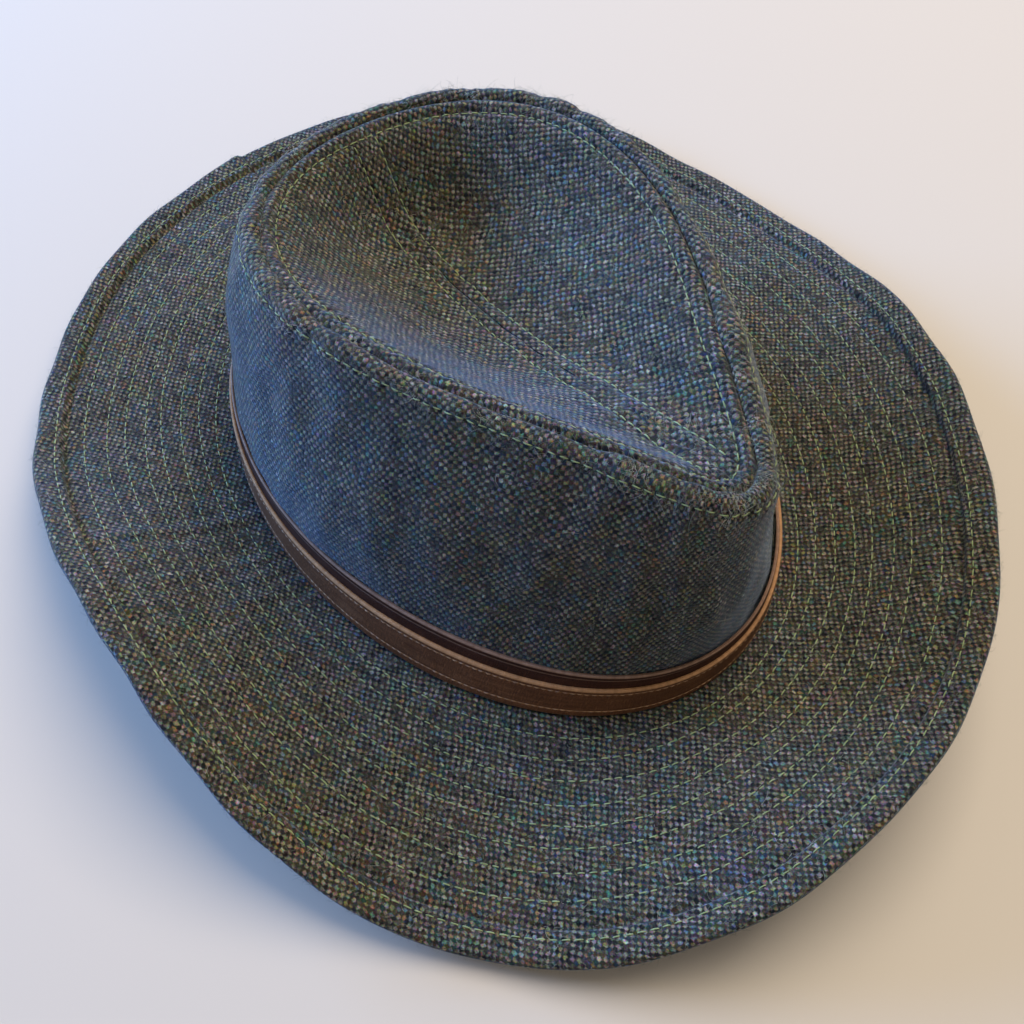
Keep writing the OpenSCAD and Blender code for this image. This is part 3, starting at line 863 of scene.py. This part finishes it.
# ------------------------------------------------------------------ nap: loose fibres on the cloth
def fibres(name, pts, nors, seed, lmin=1.2, lmax=5.0, rad=0.036, rise=(0.15, 0.9)):
    g = np.random.default_rng(seed)
    n = len(pts)
    a = g.normal(size=(n, 3))
    tang = unit(a - nors * (a * nors).sum(-1, keepdims=True))
    side = unit(np.cross(tang, nors))
    L = lmin + (lmax - lmin) * g.random(n) ** 2.4
    up = g.uniform(rise[0], rise[1], n)
    k = np.linspace(0, 1, 6)
    curl = g.normal(0, 0.9, n)
    bend = g.uniform(0.3, 1.2, n)
    ang = curl[:, None] * k[None] * 1.6
    du = (np.cos(ang))[..., None] * tang[:, None] + (np.sin(ang))[..., None] * side[:, None]
    hv = (up[:, None] * (1 - bend[:, None] * k[None]))[..., None] * nors[:, None]
    step = unit(du + hv) * (L / 5)[:, None, None]
    path = np.concatenate([pts[:, None], pts[:, None] + np.cumsum(step[:, :-1], 1)], 1)
    # keep the fibres on or over the cloth
    over = ((path - pts[:, None]) * nors[:, None]).sum(-1)
    path = path + nors[:, None] * np.maximum(0.04 - over, 0)[..., None]
    tan = unit(np.gradient(path, axis=1))
    s1 = unit(np.cross(tan, nors[:, None] + 0.01))
    s2 = np.cross(tan, s1)
    rr = (rad * (1 - 0.6 * k))[None, :, None, None] * g.uniform(0.7, 1.3, n)[:, None, None, None]
    an = np.array([0, 2.094, 4.189])
    ring = path[:, :, None] + rr * (np.cos(an)[None, None, :, None] * s1[:, :, None] + np.sin(an)[None, None, :, None] * s2[:, :, None])
    ff, _ = grid_faces(6, 3, False, True)
    F = (ff[None] + (np.arange(n) * 18)[:, None, None]).reshape(-1, 4)
    return new_object(name, ring.reshape(-1, 3), F)


def make_nap():
    g = np.random.default_rng(90)
    out = []
    n = 5200
    t, f = g.uniform(0, 360, n), np.sqrt(g.uniform(0.02, 1, n))
    P, N = brim_xyz(t, f * (width(t) - HB))
    out.append(fibres("brim_nap", P, N, 91))
    # along the very edge
    n = 1500
    t = g.uniform(0, 360, n)
    P, N = brim_xyz(t, width(t) - HB)
    a = g.uniform(10, 150, n)
    E = brim_xyz(t, width(t) - HB - 1)[0]
    outd = unit(P - E)
    Pn = P + outd * (HB * sind(a))[:, None] - N * (HB * (1 - cosd(a)))[:, None]
    Nn = unit(outd * sind(a)[:, None] + N * cosd(a)[:, None])
    out.append(fibres("brim_edge_nap", Pn, Nn, 92, lmax=3.0))
    n = 5200
    t, s = g.uniform(0, 360, n), g.uniform(0.28, 2, n)
    s = np.where(s > 1, 1 + (s - 1) * 0.5 * 2, s)
    P, N = wall_xyz(t, s)
    out.append(fibres("crown_side_nap", P, N, 93, lmax=5.5))
    n = 3400
    t, u = g.uniform(0, 360, 4 * n), np.sqrt(g.uniform(0, 1, 4 * n))
    keep = g.random(4 * n) < (tip_len(t) / 95) ** 2 * 0.8
    t, u = t[keep][:n], u[keep][:n]
    P, N = tip_xyz(t, u)
    out.append(fibres("crown_tip_nap", P, N, 94))
    return out


# ------------------------------------------------------------------ materials
class Tree:
    def __init__(self, name):
        self.m = bpy.data.materials.new(name)
        self.m.use_nodes = True
        self.t = self.m.node_tree
        self.t.nodes.clear()
        self.out = self.t.nodes.new("ShaderNodeOutputMaterial")
        self.b = self.t.nodes.new("ShaderNodeBsdfPrincipled")
        self.t.links.new(self.b.outputs[0], self.out.inputs[0])

    def n(self, kind, **kw):
        x = self.t.nodes.new(kind)
        for k, v in kw.items():
            setattr(x, k, v)
        return x

    def link(self, a, b):
        self.t.links.new(a, b)

    def put(self, sock, v):
        if hasattr(v, "is_output") or isinstance(v, bpy.types.NodeSocket):
            self.link(v, sock)
        elif v is not None:
            sock.default_value = v

    def math(self, op, a, b=None, c=None, clamp=False):
        x = self.n("ShaderNodeMath", operation=op, use_clamp=clamp)
        self.put(x.inputs[0], a)
        if b is not None:
            self.put(x.inputs[1], b)
        if c is not None:
            self.put(x.inputs[2], c)
        return x.outputs[0]

    def mix(self, f, a, b, mode="MIX"):
        x = self.n("ShaderNodeMix", data_type="RGBA", blend_type=mode)
        self.put(x.inputs["Factor"], f)
        for s, v in ((x.inputs[6], a), (x.inputs[7], b)):
            if isinstance(v, (tuple, list)):
                s.default_value = (*v, 1) if len(v) == 3 else v
            else:
                self.link(v, s)
        return x.outputs[2]

    def vec(self, x, y, z=0.0):
        c = self.n("ShaderNodeCombineXYZ")
        self.put(c.inputs[0], x)
        self.put(c.inputs[1], y)
        self.put(c.inputs[2], z)
        return c.outputs[0]

    def noise(self, v, scale, detail=2.0, rough=0.5):
        x = self.n("ShaderNodeTexNoise")
        self.link(v, x.inputs["Vector"])
        x.inputs["Scale"].default_value = scale
        x.inputs["Detail"].default_value = detail
        x.inputs["Roughness"].default_value = rough
        return x.outputs["Fac"]

    def ramp(self, f, stops, interp="LINEAR"):
        x = self.n("ShaderNodeValToRGB")
        self.link(f, x.inputs[0])
        cr = x.color_ramp
        cr.interpolation = interp
        while len(cr.elements) < len(stops):
            cr.elements.new(0.5)
        for e, (p, c) in zip(cr.elements, stops):
            e.position = p
            e.color = (*c, 1) if len(c) == 3 else c
        return x.outputs[0]

    def step(self, x, lo, hi):
        r = self.n("ShaderNodeMapRange", interpolation_type="SMOOTHSTEP", clamp=True)
        self.put(r.inputs[0], x)
        r.inputs[1].default_value = lo
        r.inputs[2].default_value = hi
        return r.outputs[0]

    def uv(self):
        x = self.n("ShaderNodeUVMap", uv_map="weave")
        s = self.n("ShaderNodeSeparateXYZ")
        self.link(x.outputs[0], s.inputs[0])
        return x.outputs[0], s.outputs[0], s.outputs[1]

    def bump(self, h, dist, strength=1.0, prev=None):
        x = self.n("ShaderNodeBump")
        self.link(h, x.inputs["Height"])
        x.inputs["Distance"].default_value = dist
        x.inputs["Strength"].default_value = strength
        if prev is not None:
            self.link(prev, x.inputs["Normal"])
        return x.outputs[0]


def tweed(name):
    """Plain weave; the map's unit is one yarn."""
    T = Tree(name)
    uv, u, v = T.uv()
    # yarns wander a little
    dn = T.n("ShaderNodeTexNoise")
    T.link(uv, dn.inputs["Vector"])
    dn.inputs["Scale"].default_value = 0.13
    dn.inputs["Detail"].default_value = 3
    ds = T.n("ShaderNodeSeparateColor")
    T.link(dn.outputs["Color"], ds.inputs[0])
    p = T.math("MULTIPLY_ADD", ds.outputs[0], 2.4, u)
    q = T.math("MULTIPLY_ADD", ds.outputs[1], 2.4, v)
    # each crossing is jostled
    jn = T.n("ShaderNodeTexNoise")
    T.link(T.vec(p, q), jn.inputs["Vector"])
    jn.inputs["Scale"].default_value = 0.9
    jn.inputs["Detail"].default_value = 2
    js = T.n("ShaderNodeSeparateColor")
    T.link(jn.outputs["Color"], js.inputs[0])
    p = T.math("MULTIPLY_ADD", js.outputs[0], 0.85, p)
    q = T.math("MULTIPLY_ADD", js.outputs[1], 0.85, q)
    sp = T.math("SINE", T.math("MULTIPLY", p, math.pi))
    sq = T.math("SINE", T.math("MULTIPLY", q, math.pi))
    s = T.math("MULTIPLY", sp, sq)
    # loose fibres blur the edge of every yarn
    fz = T.noise(T.vec(T.math("MULTIPLY", u, 1.0), T.math("MULTIPLY", v, 1.0), 4.0), 3.1, 4, 0.75)
    se = T.math("MULTIPLY_ADD", T.math("SUBTRACT", fz, 0.5), 2.9, s)
    warp = T.step(se, -0.42, 0.62)
    knot = T.math("POWER", T.math("ABSOLUTE", s), 0.6)
    # every crossing has its own shade
    wn2 = T.n("ShaderNodeTexWhiteNoise", noise_dimensions="2D")
    T.link(T.vec(T.math("FLOOR", p), T.math("FLOOR", q)), wn2.inputs["Vector"])
    cell = wn2.outputs["Value"]
    cs = T.n("ShaderNodeSeparateColor")
    T.link(wn2.outputs["Color"], cs.inputs[0])
    # heather, stretched along each yarn
    wv = T.vec(p, T.math("MULTIPLY", q, 0.2), 3.1)
    fv = T.vec(T.math("MULTIPLY", p, 0.2), q, 9.7)
    wn = T.math("MULTIPLY_ADD", T.math("SUBTRACT", cell, 0.5), 0.34, T.noise(wv, 0.8, 3, 0.65))
    fn = T.math("MULTIPLY_ADD", T.math("SUBTRACT", cs.outputs[1], 0.5), 0.34, T.noise(fv, 0.8, 3, 0.65))
    wc = T.ramp(wn, [(0.22, (0.034, 0.034, 0.028)), (0.40, (0.080, 0.079, 0.060)), (0.52, (0.130, 0.127, 0.099)),
                     (0.66, (0.190, 0.183, 0.145)), (0.82, (0.32, 0.31, 0.26))])
    fc = T.ramp(fn, [(0.28, (0.0045, 0.0048, 0.0060)), (0.45, (0.0120, 0.0125, 0.0125)), (0.60, (0.027, 0.0260, 0.0215)),
                     (0.78, (0.070, 0.062, 0.046))])
    # dyed flecks: green, blue, yellow, rust and plum, in patches
    hue = T.math("MULTIPLY_ADD", T.math("SUBTRACT", cs.outputs[2], 0.5), 0.52, 0.5)
    hue = T.math("MULTIPLY_ADD", T.math("SUBTRACT", T.noise(uv, 0.085, 3, 0.6), 0.5), 0.55, hue)
    wfl = T.noise(T.vec(p, T.math("MULTIPLY", q, 0.25), 21.0), 0.6, 2, 0.5)
    ffl = T.noise(T.vec(T.math("MULTIPLY", p, 0.25), q, 31.0), 0.6, 2, 0.5)
    dye = T.ramp(hue, [(0.26, (0.06, 0.17, 0.12)), (0.38, (0.07, 0.12, 0.20)), (0.47, (0.17, 0.19, 0.06)),
                       (0.57, (0.21, 0.11, 0.055)), (0.66, (0.16, 0.15, 0.06)), (0.76, (0.15, 0.09, 0.13))])
    wc = T.mix(T.math("MULTIPLY", T.step(wfl, 0.46, 0.60), 0.68), wc, dye)
    dye2 = T.ramp(hue, [(0.26, (0.014, 0.040, 0.030)), (0.38, (0.014, 0.026, 0.055)), (0.47, (0.040, 0.045, 0.014)),
                        (0.57, (0.055, 0.028, 0.015)), (0.66, (0.036, 0.033, 0.012)), (0.76, (0.036, 0.020, 0.032))])
    fc = T.mix(T.math("MULTIPLY", T.step(ffl, 0.46, 0.60), 0.8), fc, dye2)
    col = T.mix(warp, fc, wc)
    # shade between the yarns
    gapm = T.ramp(knot, [(0.0, (0.55, 0.55, 0.57)), (0.45, (0.88, 0.88, 0.89)), (0.85, (1.08, 1.08, 1.08))])
    col = T.mix(1.0, col, gapm, "MULTIPLY")
    # single fibres, light and dark
    fb = T.noise(T.vec(T.math("MULTIPLY", T.math("ADD", u, T.math("MULTIPLY", v, 0.35)), 3.2), T.math("MULTIPLY", v, 0.75), 12.0), 2.1, 3, 0.7)
    fm = T.ramp(fb, [(0.30, (0.50, 0.50, 0.50)), (0.50, (1.0, 1.0, 1.0)), (0.68, (1.65, 1.63, 1.58)), (0.80, (2.3, 2.25, 2.1))])
    col = T.mix(0.85, col, fm, "MULTIPLY")
    # dyed fibres of many colours, finer than a yarn
    gn = T.n("ShaderNodeTexNoise")
    T.link(T.vec(u, v, 17.0), gn.inputs["Vector"])
    gn.inputs["Scale"].default_value = 2.6
    gn.inputs["Detail"].default_value = 3
    gn.inputs["Roughness"].default_value = 0.7
    gc = T.n("ShaderNodeVectorMath", operation="MULTIPLY_ADD")
    T.link(gn.outputs["Color"], gc.inputs[0])
    gc.inputs[1].default_value = (4.2, 3.8, 4.6)
    gc.inputs[2].default_value = (-1.10, -0.90, -1.32)
    gm = T.n("ShaderNodeVectorMath", operation="MAXIMUM")
    T.link(gc.outputs[0], gm.inputs[0])
    gm.inputs[1].default_value = (0.28, 0.28, 0.28)
    col = T.mix(0.9, col, gm.outputs[0], "MULTIPLY")
    # cloudy drift of the whole cloth
    big = T.noise(uv, 0.035, 4, 0.6)
    drift = T.ramp(big, [(0.30, (0.92, 0.93, 1.08)), (0.45, (1.00, 0.97, 0.96)), (0.58, (1.06, 0.97, 0.90)), (0.72, (1.10, 0.95, 0.92))])
    col = T.mix(1.0, col, drift, "MULTIPLY")
    T.link(col, T.b.inputs["Base Color"])
    hgt = T.math("MULTIPLY_ADD", fz, 0.9, knot)
    hgt = T.math("MULTIPLY_ADD", fb, 0.6, hgt)
    T.link(T.bump(hgt, 0.00034, 0.42), T.b.inputs["Normal"])
    rg = T.ramp(fz, [(0.3, (0.82, 0.82, 0.82)), (0.7, (0.97, 0.97, 0.97))])
    T.link(rg, T.b.inputs["Roughness"])
    T.b.inputs["Specular IOR Level"].default_value = 0.10
    T.b.inputs["Sheen Weight"].default_value = 0.32
    T.b.inputs["Sheen Roughness"].default_value = 0.40
    T.b.inputs["Sheen Tint"].default_value = (0.62, 0.76, 1.0, 1)
    return T.m


def thread_mat(name, lo, hi, sheen=0.3):
    T = Tree(name)
    tc = T.n("ShaderNodeTexCoord").outputs["Object"]
    n1 = T.noise(tc, 260.0, 2, 0.5)
    n2 = T.noise(tc, 2600.0, 2, 0.6)
    c = T.ramp(n1, [(0.3, lo), (0.7, hi)])
    c = T.mix(T.math("MULTIPLY", n2, 0.6), c, tuple(x * 0.55 for x in lo), "MIX")
    T.link(c, T.b.inputs["Base Color"])
    w = T.n("ShaderNodeTexWave", wave_type="BANDS", bands_direction="DIAGONAL")
    T.link(tc, w.inputs["Vector"])
    w.inputs["Scale"].default_value = 900.0
    T.link(T.bump(w.outputs["Fac"], 0.00008, 0.7), T.b.inputs["Normal"])
    rg = T.ramp(n2, [(0.2, (0.5, 0.5, 0.5)), (0.8, (0.72, 0.72, 0.72))])
    T.link(rg, T.b.inputs["Roughness"])
    T.b.inputs["Sheen Weight"].default_value = sheen
    return T.m


def nap_mat():
    T = Tree("wool_nap")
    tc = T.n("ShaderNodeTexCoord").outputs["Object"]
    n1 = T.noise(tc, 120.0, 2, 0.6)
    c = T.ramp(n1, [(0.30, (0.06, 0.07, 0.06)), (0.48, (0.17, 0.18, 0.14)), (0.60, (0.36, 0.35, 0.25)), (0.72, (0.62, 0.60, 0.50))])
    T.link(c, T.b.inputs["Base Color"])
    rg = T.ramp(n1, [(0.3, (0.7, 0.7, 0.7)), (0.7, (0.5, 0.5, 0.5))])
    T.link(rg, T.b.inputs["Roughness"])
    T.b.inputs["Specular IOR Level"].default_value = 0.3
    return T.m


def leather(name, dark, mid, light, rough=0.42, lines=(), edge_highlight_and_groove_colour=(0.3, 0.2, 0.14)):
    """lines: (height in mm, half width, strength) of paler lines along the strip: painted highlights on the rolled
    edges, and paler lines in the pressed grooves.
    """
    T = Tree(name)
    uv, u, v = T.uv()
    cloud = T.noise(uv, 0.10, 4, 0.6)
    streak = T.noise(T.vec(T.math("MULTIPLY", u, 0.05), v, 0), 0.9, 3, 0.6)
    f = T.math("MULTIPLY_ADD", streak, 0.5, T.math("MULTIPLY", cloud, 0.5))
    c = T.ramp(f, [(0.32, dark), (0.50, mid), (0.68, light)])
    # short creases across the strip, and pores
    tick = T.noise(T.vec(T.math("MULTIPLY", u, 2.4), T.math("MULTIPLY", v, 0.35), 5.0), 1.0, 3, 0.65)
    c = T.mix(T.math("MULTIPLY", T.step(tick, 0.54, 0.70), 0.55), c, tuple(min(x * 1.8, 1) for x in light))
    c = T.mix(T.math("MULTIPLY", T.step(tick, 0.46, 0.30), 0.6), c, tuple(x * 0.5 for x in dark))
    speck = T.noise(uv, 2.9, 4, 0.75)
    c = T.mix(T.math("MULTIPLY", T.step(speck, 0.53, 0.66), 0.6), c, tuple(min(x * 1.9, 1) for x in light))
    c = T.mix(T.math("MULTIPLY", T.step(speck, 0.47, 0.36), 0.7), c, tuple(x * 0.45 for x in dark))
    # paler lines: painted highlights where the rolled edges catch the light, and a paler colour in the pressed grooves
    for at, hw, k in lines:
        d = T.math("ABSOLUTE", T.math("SUBTRACT", v, at))
        line_patchiness = T.math("MULTIPLY_ADD", T.noise(T.vec(T.math("MULTIPLY", u, 0.5), at, 2.0), 1.2, 2, 0.6), 1.1, 0.35)
        m = T.math("MULTIPLY", T.math("SUBTRACT", 1.0, T.step(d, hw * 0.45, hw)), T.math("MULTIPLY", line_patchiness, k), clamp=True)
        c = T.mix(m, c, edge_highlight_and_groove_colour)
    T.link(c, T.b.inputs["Base Color"])
    vo = T.n("ShaderNodeTexVoronoi", feature="DISTANCE_TO_EDGE")
    T.link(uv, vo.inputs["Vector"])
    vo.inputs["Scale"].default_value = 1.7
    crease = T.step(vo.outputs["Distance"], 0.0, 0.12)
    h = T.math("MULTIPLY_ADD", speck, 0.5, T.math("MULTIPLY", crease, 0.6))
    h = T.math("MULTIPLY_ADD", tick, 1.1, h)
    T.link(T.bump(h, 0.00014, 0.7), T.b.inputs["Normal"])
    rg = T.ramp(cloud, [(0.3, (rough - 0.08,) * 3), (0.7, (rough + 0.14,) * 3)])
    T.link(rg, T.b.inputs["Roughness"])
    T.b.inputs["Specular IOR Level"].default_value = 0.2
    return T.m


def satin(name, a, b):
    T = Tree(name)
    uv, u, v = T.uv()
    n1 = T.noise(T.vec(T.math("MULTIPLY", u, 0.2), v, 0), 2.2, 3, 0.6)
    c = T.ramp(n1, [(0.3, a), (0.7, b)])
    T.link(c, T.b.inputs["Base Color"])
    rib = T.math("SINE", T.math("MULTIPLY", T.math("ADD", u, v), 2 * math.pi / 0.35))
    T.link(T.bump(rib, 0.00003, 0.5), T.b.inputs["Normal"])
    rg = T.ramp(n1, [(0.3, (0.34,) * 3), (0.7, (0.46,) * 3)])
    T.link(rg, T.b.inputs["Roughness"])
    T.b.inputs["Sheen Weight"].default_value = 0.2
    return T.m


def ribbed(name, a, b, period=0.9):
    T = Tree(name)
    uv, u, v = T.uv()
    rib = T.math("SINE", T.math("MULTIPLY", u, 2 * math.pi / period))
    n1 = T.noise(uv, 0.6, 3, 0.6)
    f = T.math("MULTIPLY_ADD", rib, 0.22, n1)
    c = T.ramp(f, [(0.25, a), (0.75, b)])
    T.link(c, T.b.inputs["Base Color"])
    T.link(T.bump(rib, 0.00025, 0.8), T.b.inputs["Normal"])
    rg = T.ramp(n1, [(0.3, (0.65,) * 3), (0.7, (0.8,) * 3)])
    T.link(rg, T.b.inputs["Roughness"])
    T.b.inputs["Sheen Weight"].default_value = 0.15
    return T.m


def felt_mat(name, a, b):
    T = Tree(name)
    tc = T.n("ShaderNodeTexCoord").outputs["Object"]
    n1 = T.noise(tc, 500.0, 4, 0.7)
    c = T.ramp(n1, [(0.3, a), (0.7, b)])
    T.link(c, T.b.inputs["Base Color"])
    T.link(T.bump(n1, 0.0003, 0.6), T.b.inputs["Normal"])
    rg = T.ramp(n1, [(0.3, (0.8,) * 3), (0.7, (0.95,) * 3)])
    T.link(rg, T.b.inputs["Roughness"])
    return T.m


M_TWEED = tweed("tweed_cloth")
M_GREEN = thread_mat("olive_thread", (0.20, 0.27, 0.085), (0.42, 0.50, 0.21))
M_TAN = thread_mat("tan_thread", (0.36, 0.17, 0.065), (0.60, 0.34, 0.15))
M_NAP = nap_mat()
# at 17.2 mm a painted highlight along the rolled top edge; at 15.5 mm the paler pressed groove
M_DARK = leather("dark_leather", (0.022, 0.0056, 0.0026), (0.040, 0.0112, 0.0050), (0.068, 0.0225, 0.0100), 0.56,
                 [(17.2, 0.42, 0.9), (15.5, 0.30, 0.55)], (0.34, 0.20, 0.13))
# at 11.75 and 0.15 mm painted highlights along the rolled top and bottom edges; at 10.2 and 2.3 mm the paler pressed
# grooves by the stitching
M_STRAP = leather("brown_leather", (0.078, 0.027, 0.0100), (0.122, 0.046, 0.0170), (0.185, 0.078, 0.032), 0.60,
                  [(11.75, 0.45, 0.85), (10.2, 0.3, 0.45), (2.3, 0.35, 0.6), (0.15, 0.3, 0.6)], (0.52, 0.27, 0.12))
M_SATIN = satin("lining_satin", (0.012, 0.014, 0.020), (0.030, 0.034, 0.046))
M_SWEAT = ribbed("sweatband_rib", (0.010, 0.010, 0.010), (0.032, 0.030, 0.028))
M_LABEL = ribbed("label_tape", (0.45, 0.44, 0.41), (0.62, 0.61, 0.57), 0.5)
# the canvas is coloured near black so that where it shows between the cloth pieces it reads as painted shade
M_CANVAS_DARK_AS_SHADE = felt_mat("canvas", (0.016, 0.016, 0.017), (0.034, 0.033, 0.033))
M_STIFF = felt_mat("stiff_felt", (0.50, 0.49, 0.46), (0.66, 0.65, 0.61))


# ------------------------------------------------------------------ build
def place(ob, mat, slot, *nodes):
    ob.data.materials.clear()
    ob.data.materials.append(mat)
    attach(ob, "root")
    if nodes:
        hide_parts(*nodes)
    return ob


top, und = make_brim()
place(top, M_TWEED, "tweed", "brim_upper")
place(und, M_TWEED, "tweed", "brim_under")
place(make_side(), M_TWEED, "tweed", "crown_side")
place(make_tip(1), M_TWEED, "tweed", "crown_tip_left")
place(make_tip(-1), M_TWEED, "tweed", "crown_tip_right")
q, e, qu, eu = brim_stitches()
place(q, M_GREEN, "green_thread", "brim_quilting")
place(e, M_GREEN, "green_thread", "brim_edge_stitch")
place(qu, M_GREEN, "green_thread")
place(eu, M_GREEN, "green_thread")
o, i_ = ridge_stitches()
place(o, M_GREEN, "green_thread", "ridge_stitch_outer")
place(i_, M_GREEN, "green_thread", "ridge_stitch_inner")
place(seam_stitches(), M_GREEN, "green_thread", "tip_seam_stitch")
b1, b2, s1, s2, kp = make_bands()
place(b1, M_DARK, "dark_leather", "hatband_base")
place(b2, M_STRAP, "brown_leather", "hatband_strap")
place(s1, M_TAN, "tan_thread", "hatband_stitch_upper")
place(s2, M_TAN, "tan_thread", "hatband_stitch_lower")
place(kp, M_STRAP, "brown_leather", "hatband_keeper")
ls, lt, sw, st, lab = make_inside()
place(ls, M_SATIN, "lining", "lining_side")
place(lt, M_SATIN, "lining", "lining_tip")
place(sw, M_SWEAT, "sweat_cloth", "sweatband")
place(st, M_TAN, "tan_thread", "sweatband_stitch")
place(lab, M_LABEL, "label_cloth", "care_label")
for ob in make_nap():
    place(ob, M_NAP, "tweed")

place(make_stiffener(), M_STIFF, "stiffener", "brim_stiffener")
c1, c2 = make_interlinings()
place(c1, M_CANVAS_DARK_AS_SHADE, "canvas", "crown_side_interlining")
place(c2, M_CANVAS_DARK_AS_SHADE, "canvas", "crown_tip_interlining")

# ------------------------------------------------------------------ floor, light, camera
fl = bpy.data.meshes.new("floor")
fl.from_pydata([(-4, -4, -0.0006), (4, -4, -0.0006), (4, 4, -0.0006), (-4, 4, -0.0006)], [], [(0, 1, 2, 3)])
floor = bpy.data.objects.new("floor", fl)
bpy.context.scene.collection.objects.link(floor)
fm = bpy.data.materials.new("floor")
fm.use_nodes = True
fb = fm.node_tree.nodes["Principled BSDF"]
fb.inputs["Base Color"].default_value = (0.58, 0.50, 0.41, 1)
fb.inputs["Roughness"].default_value = 0.85
fl.materials.append(fm)

world = bpy.data.worlds.new("studio")
bpy.context.scene.world = world
world.use_nodes = True
bg = world.node_tree.nodes["Background"]
bg.inputs[0].default_value = (1.0, 0.985, 0.97, 1)
bg.inputs[1].default_value = 0.30


def area(name, loc, size, power, colour, target=(0, 0, 0.05)):
    d = bpy.data.lights.new(name, "AREA")
    d.shape = "RECTANGLE"
    d.size, d.size_y = size
    d.energy = power
    d.color = colour
    ob = bpy.data.objects.new(name, d)
    ob.location = loc
    ob.rotation_euler = (Vector(target) - Vector(loc)).to_track_quat("-Z", "Y").to_euler()
    bpy.context.scene.collection.objects.link(ob)
    return ob


area("window", (-0.75, 1.30, 0.54), (1.3, 0.5), 62, (0.17, 0.42, 1.0))
area("overhead", (0.66, 0.20, 1.4), (1.2, 1.2), 26, (1.0, 0.93, 0.82))
area("fill", (0.5, -1.3, 0.6), (1.0, 0.8), 1.2, (1.0, 0.90, 0.80))

bpy.context.scene.view_settings.view_transform = "Standard"

# camera solved from the outlines: azimuth, elevation, roll, distance, aim
CAM = dict(az=-37.2, el=57.5, roll=1.28, dist=372.6, aim=(-14.15, -25.2, 3.5), f=1127.4)
a, e = math.radians(CAM["az"]), math.radians(CAM["el"])
back = Vector((math.sin(a) * math.cos(e), -math.cos(a) * math.cos(e), math.sin(e)))
right = Vector((math.cos(a), math.sin(a), 0))
up = back.cross(right)
r = math.radians(CAM["roll"])
R = right * math.cos(r) + up * math.sin(r)
U = -right * math.sin(r) + up * math.cos(r)
cd = bpy.data.cameras.new("camera")
cam = bpy.data.objects.new("camera", cd)
bpy.context.scene.collection.objects.link(cam)
cd.sensor_width = 36
cd.lens = CAM["f"] / 1024 * 36
cd.clip_start, cd.clip_end = 0.01, 20
cam.matrix_world = Matrix((
    (R.x, U.x, back.x, 0), (R.y, U.y, back.y, 0), (R.z, U.z, back.z, 0), (0, 0, 0, 1)))
cam.location = (Vector(CAM["aim"]) + back * CAM["dist"]) * MM
bpy.context.scene.camera = cam
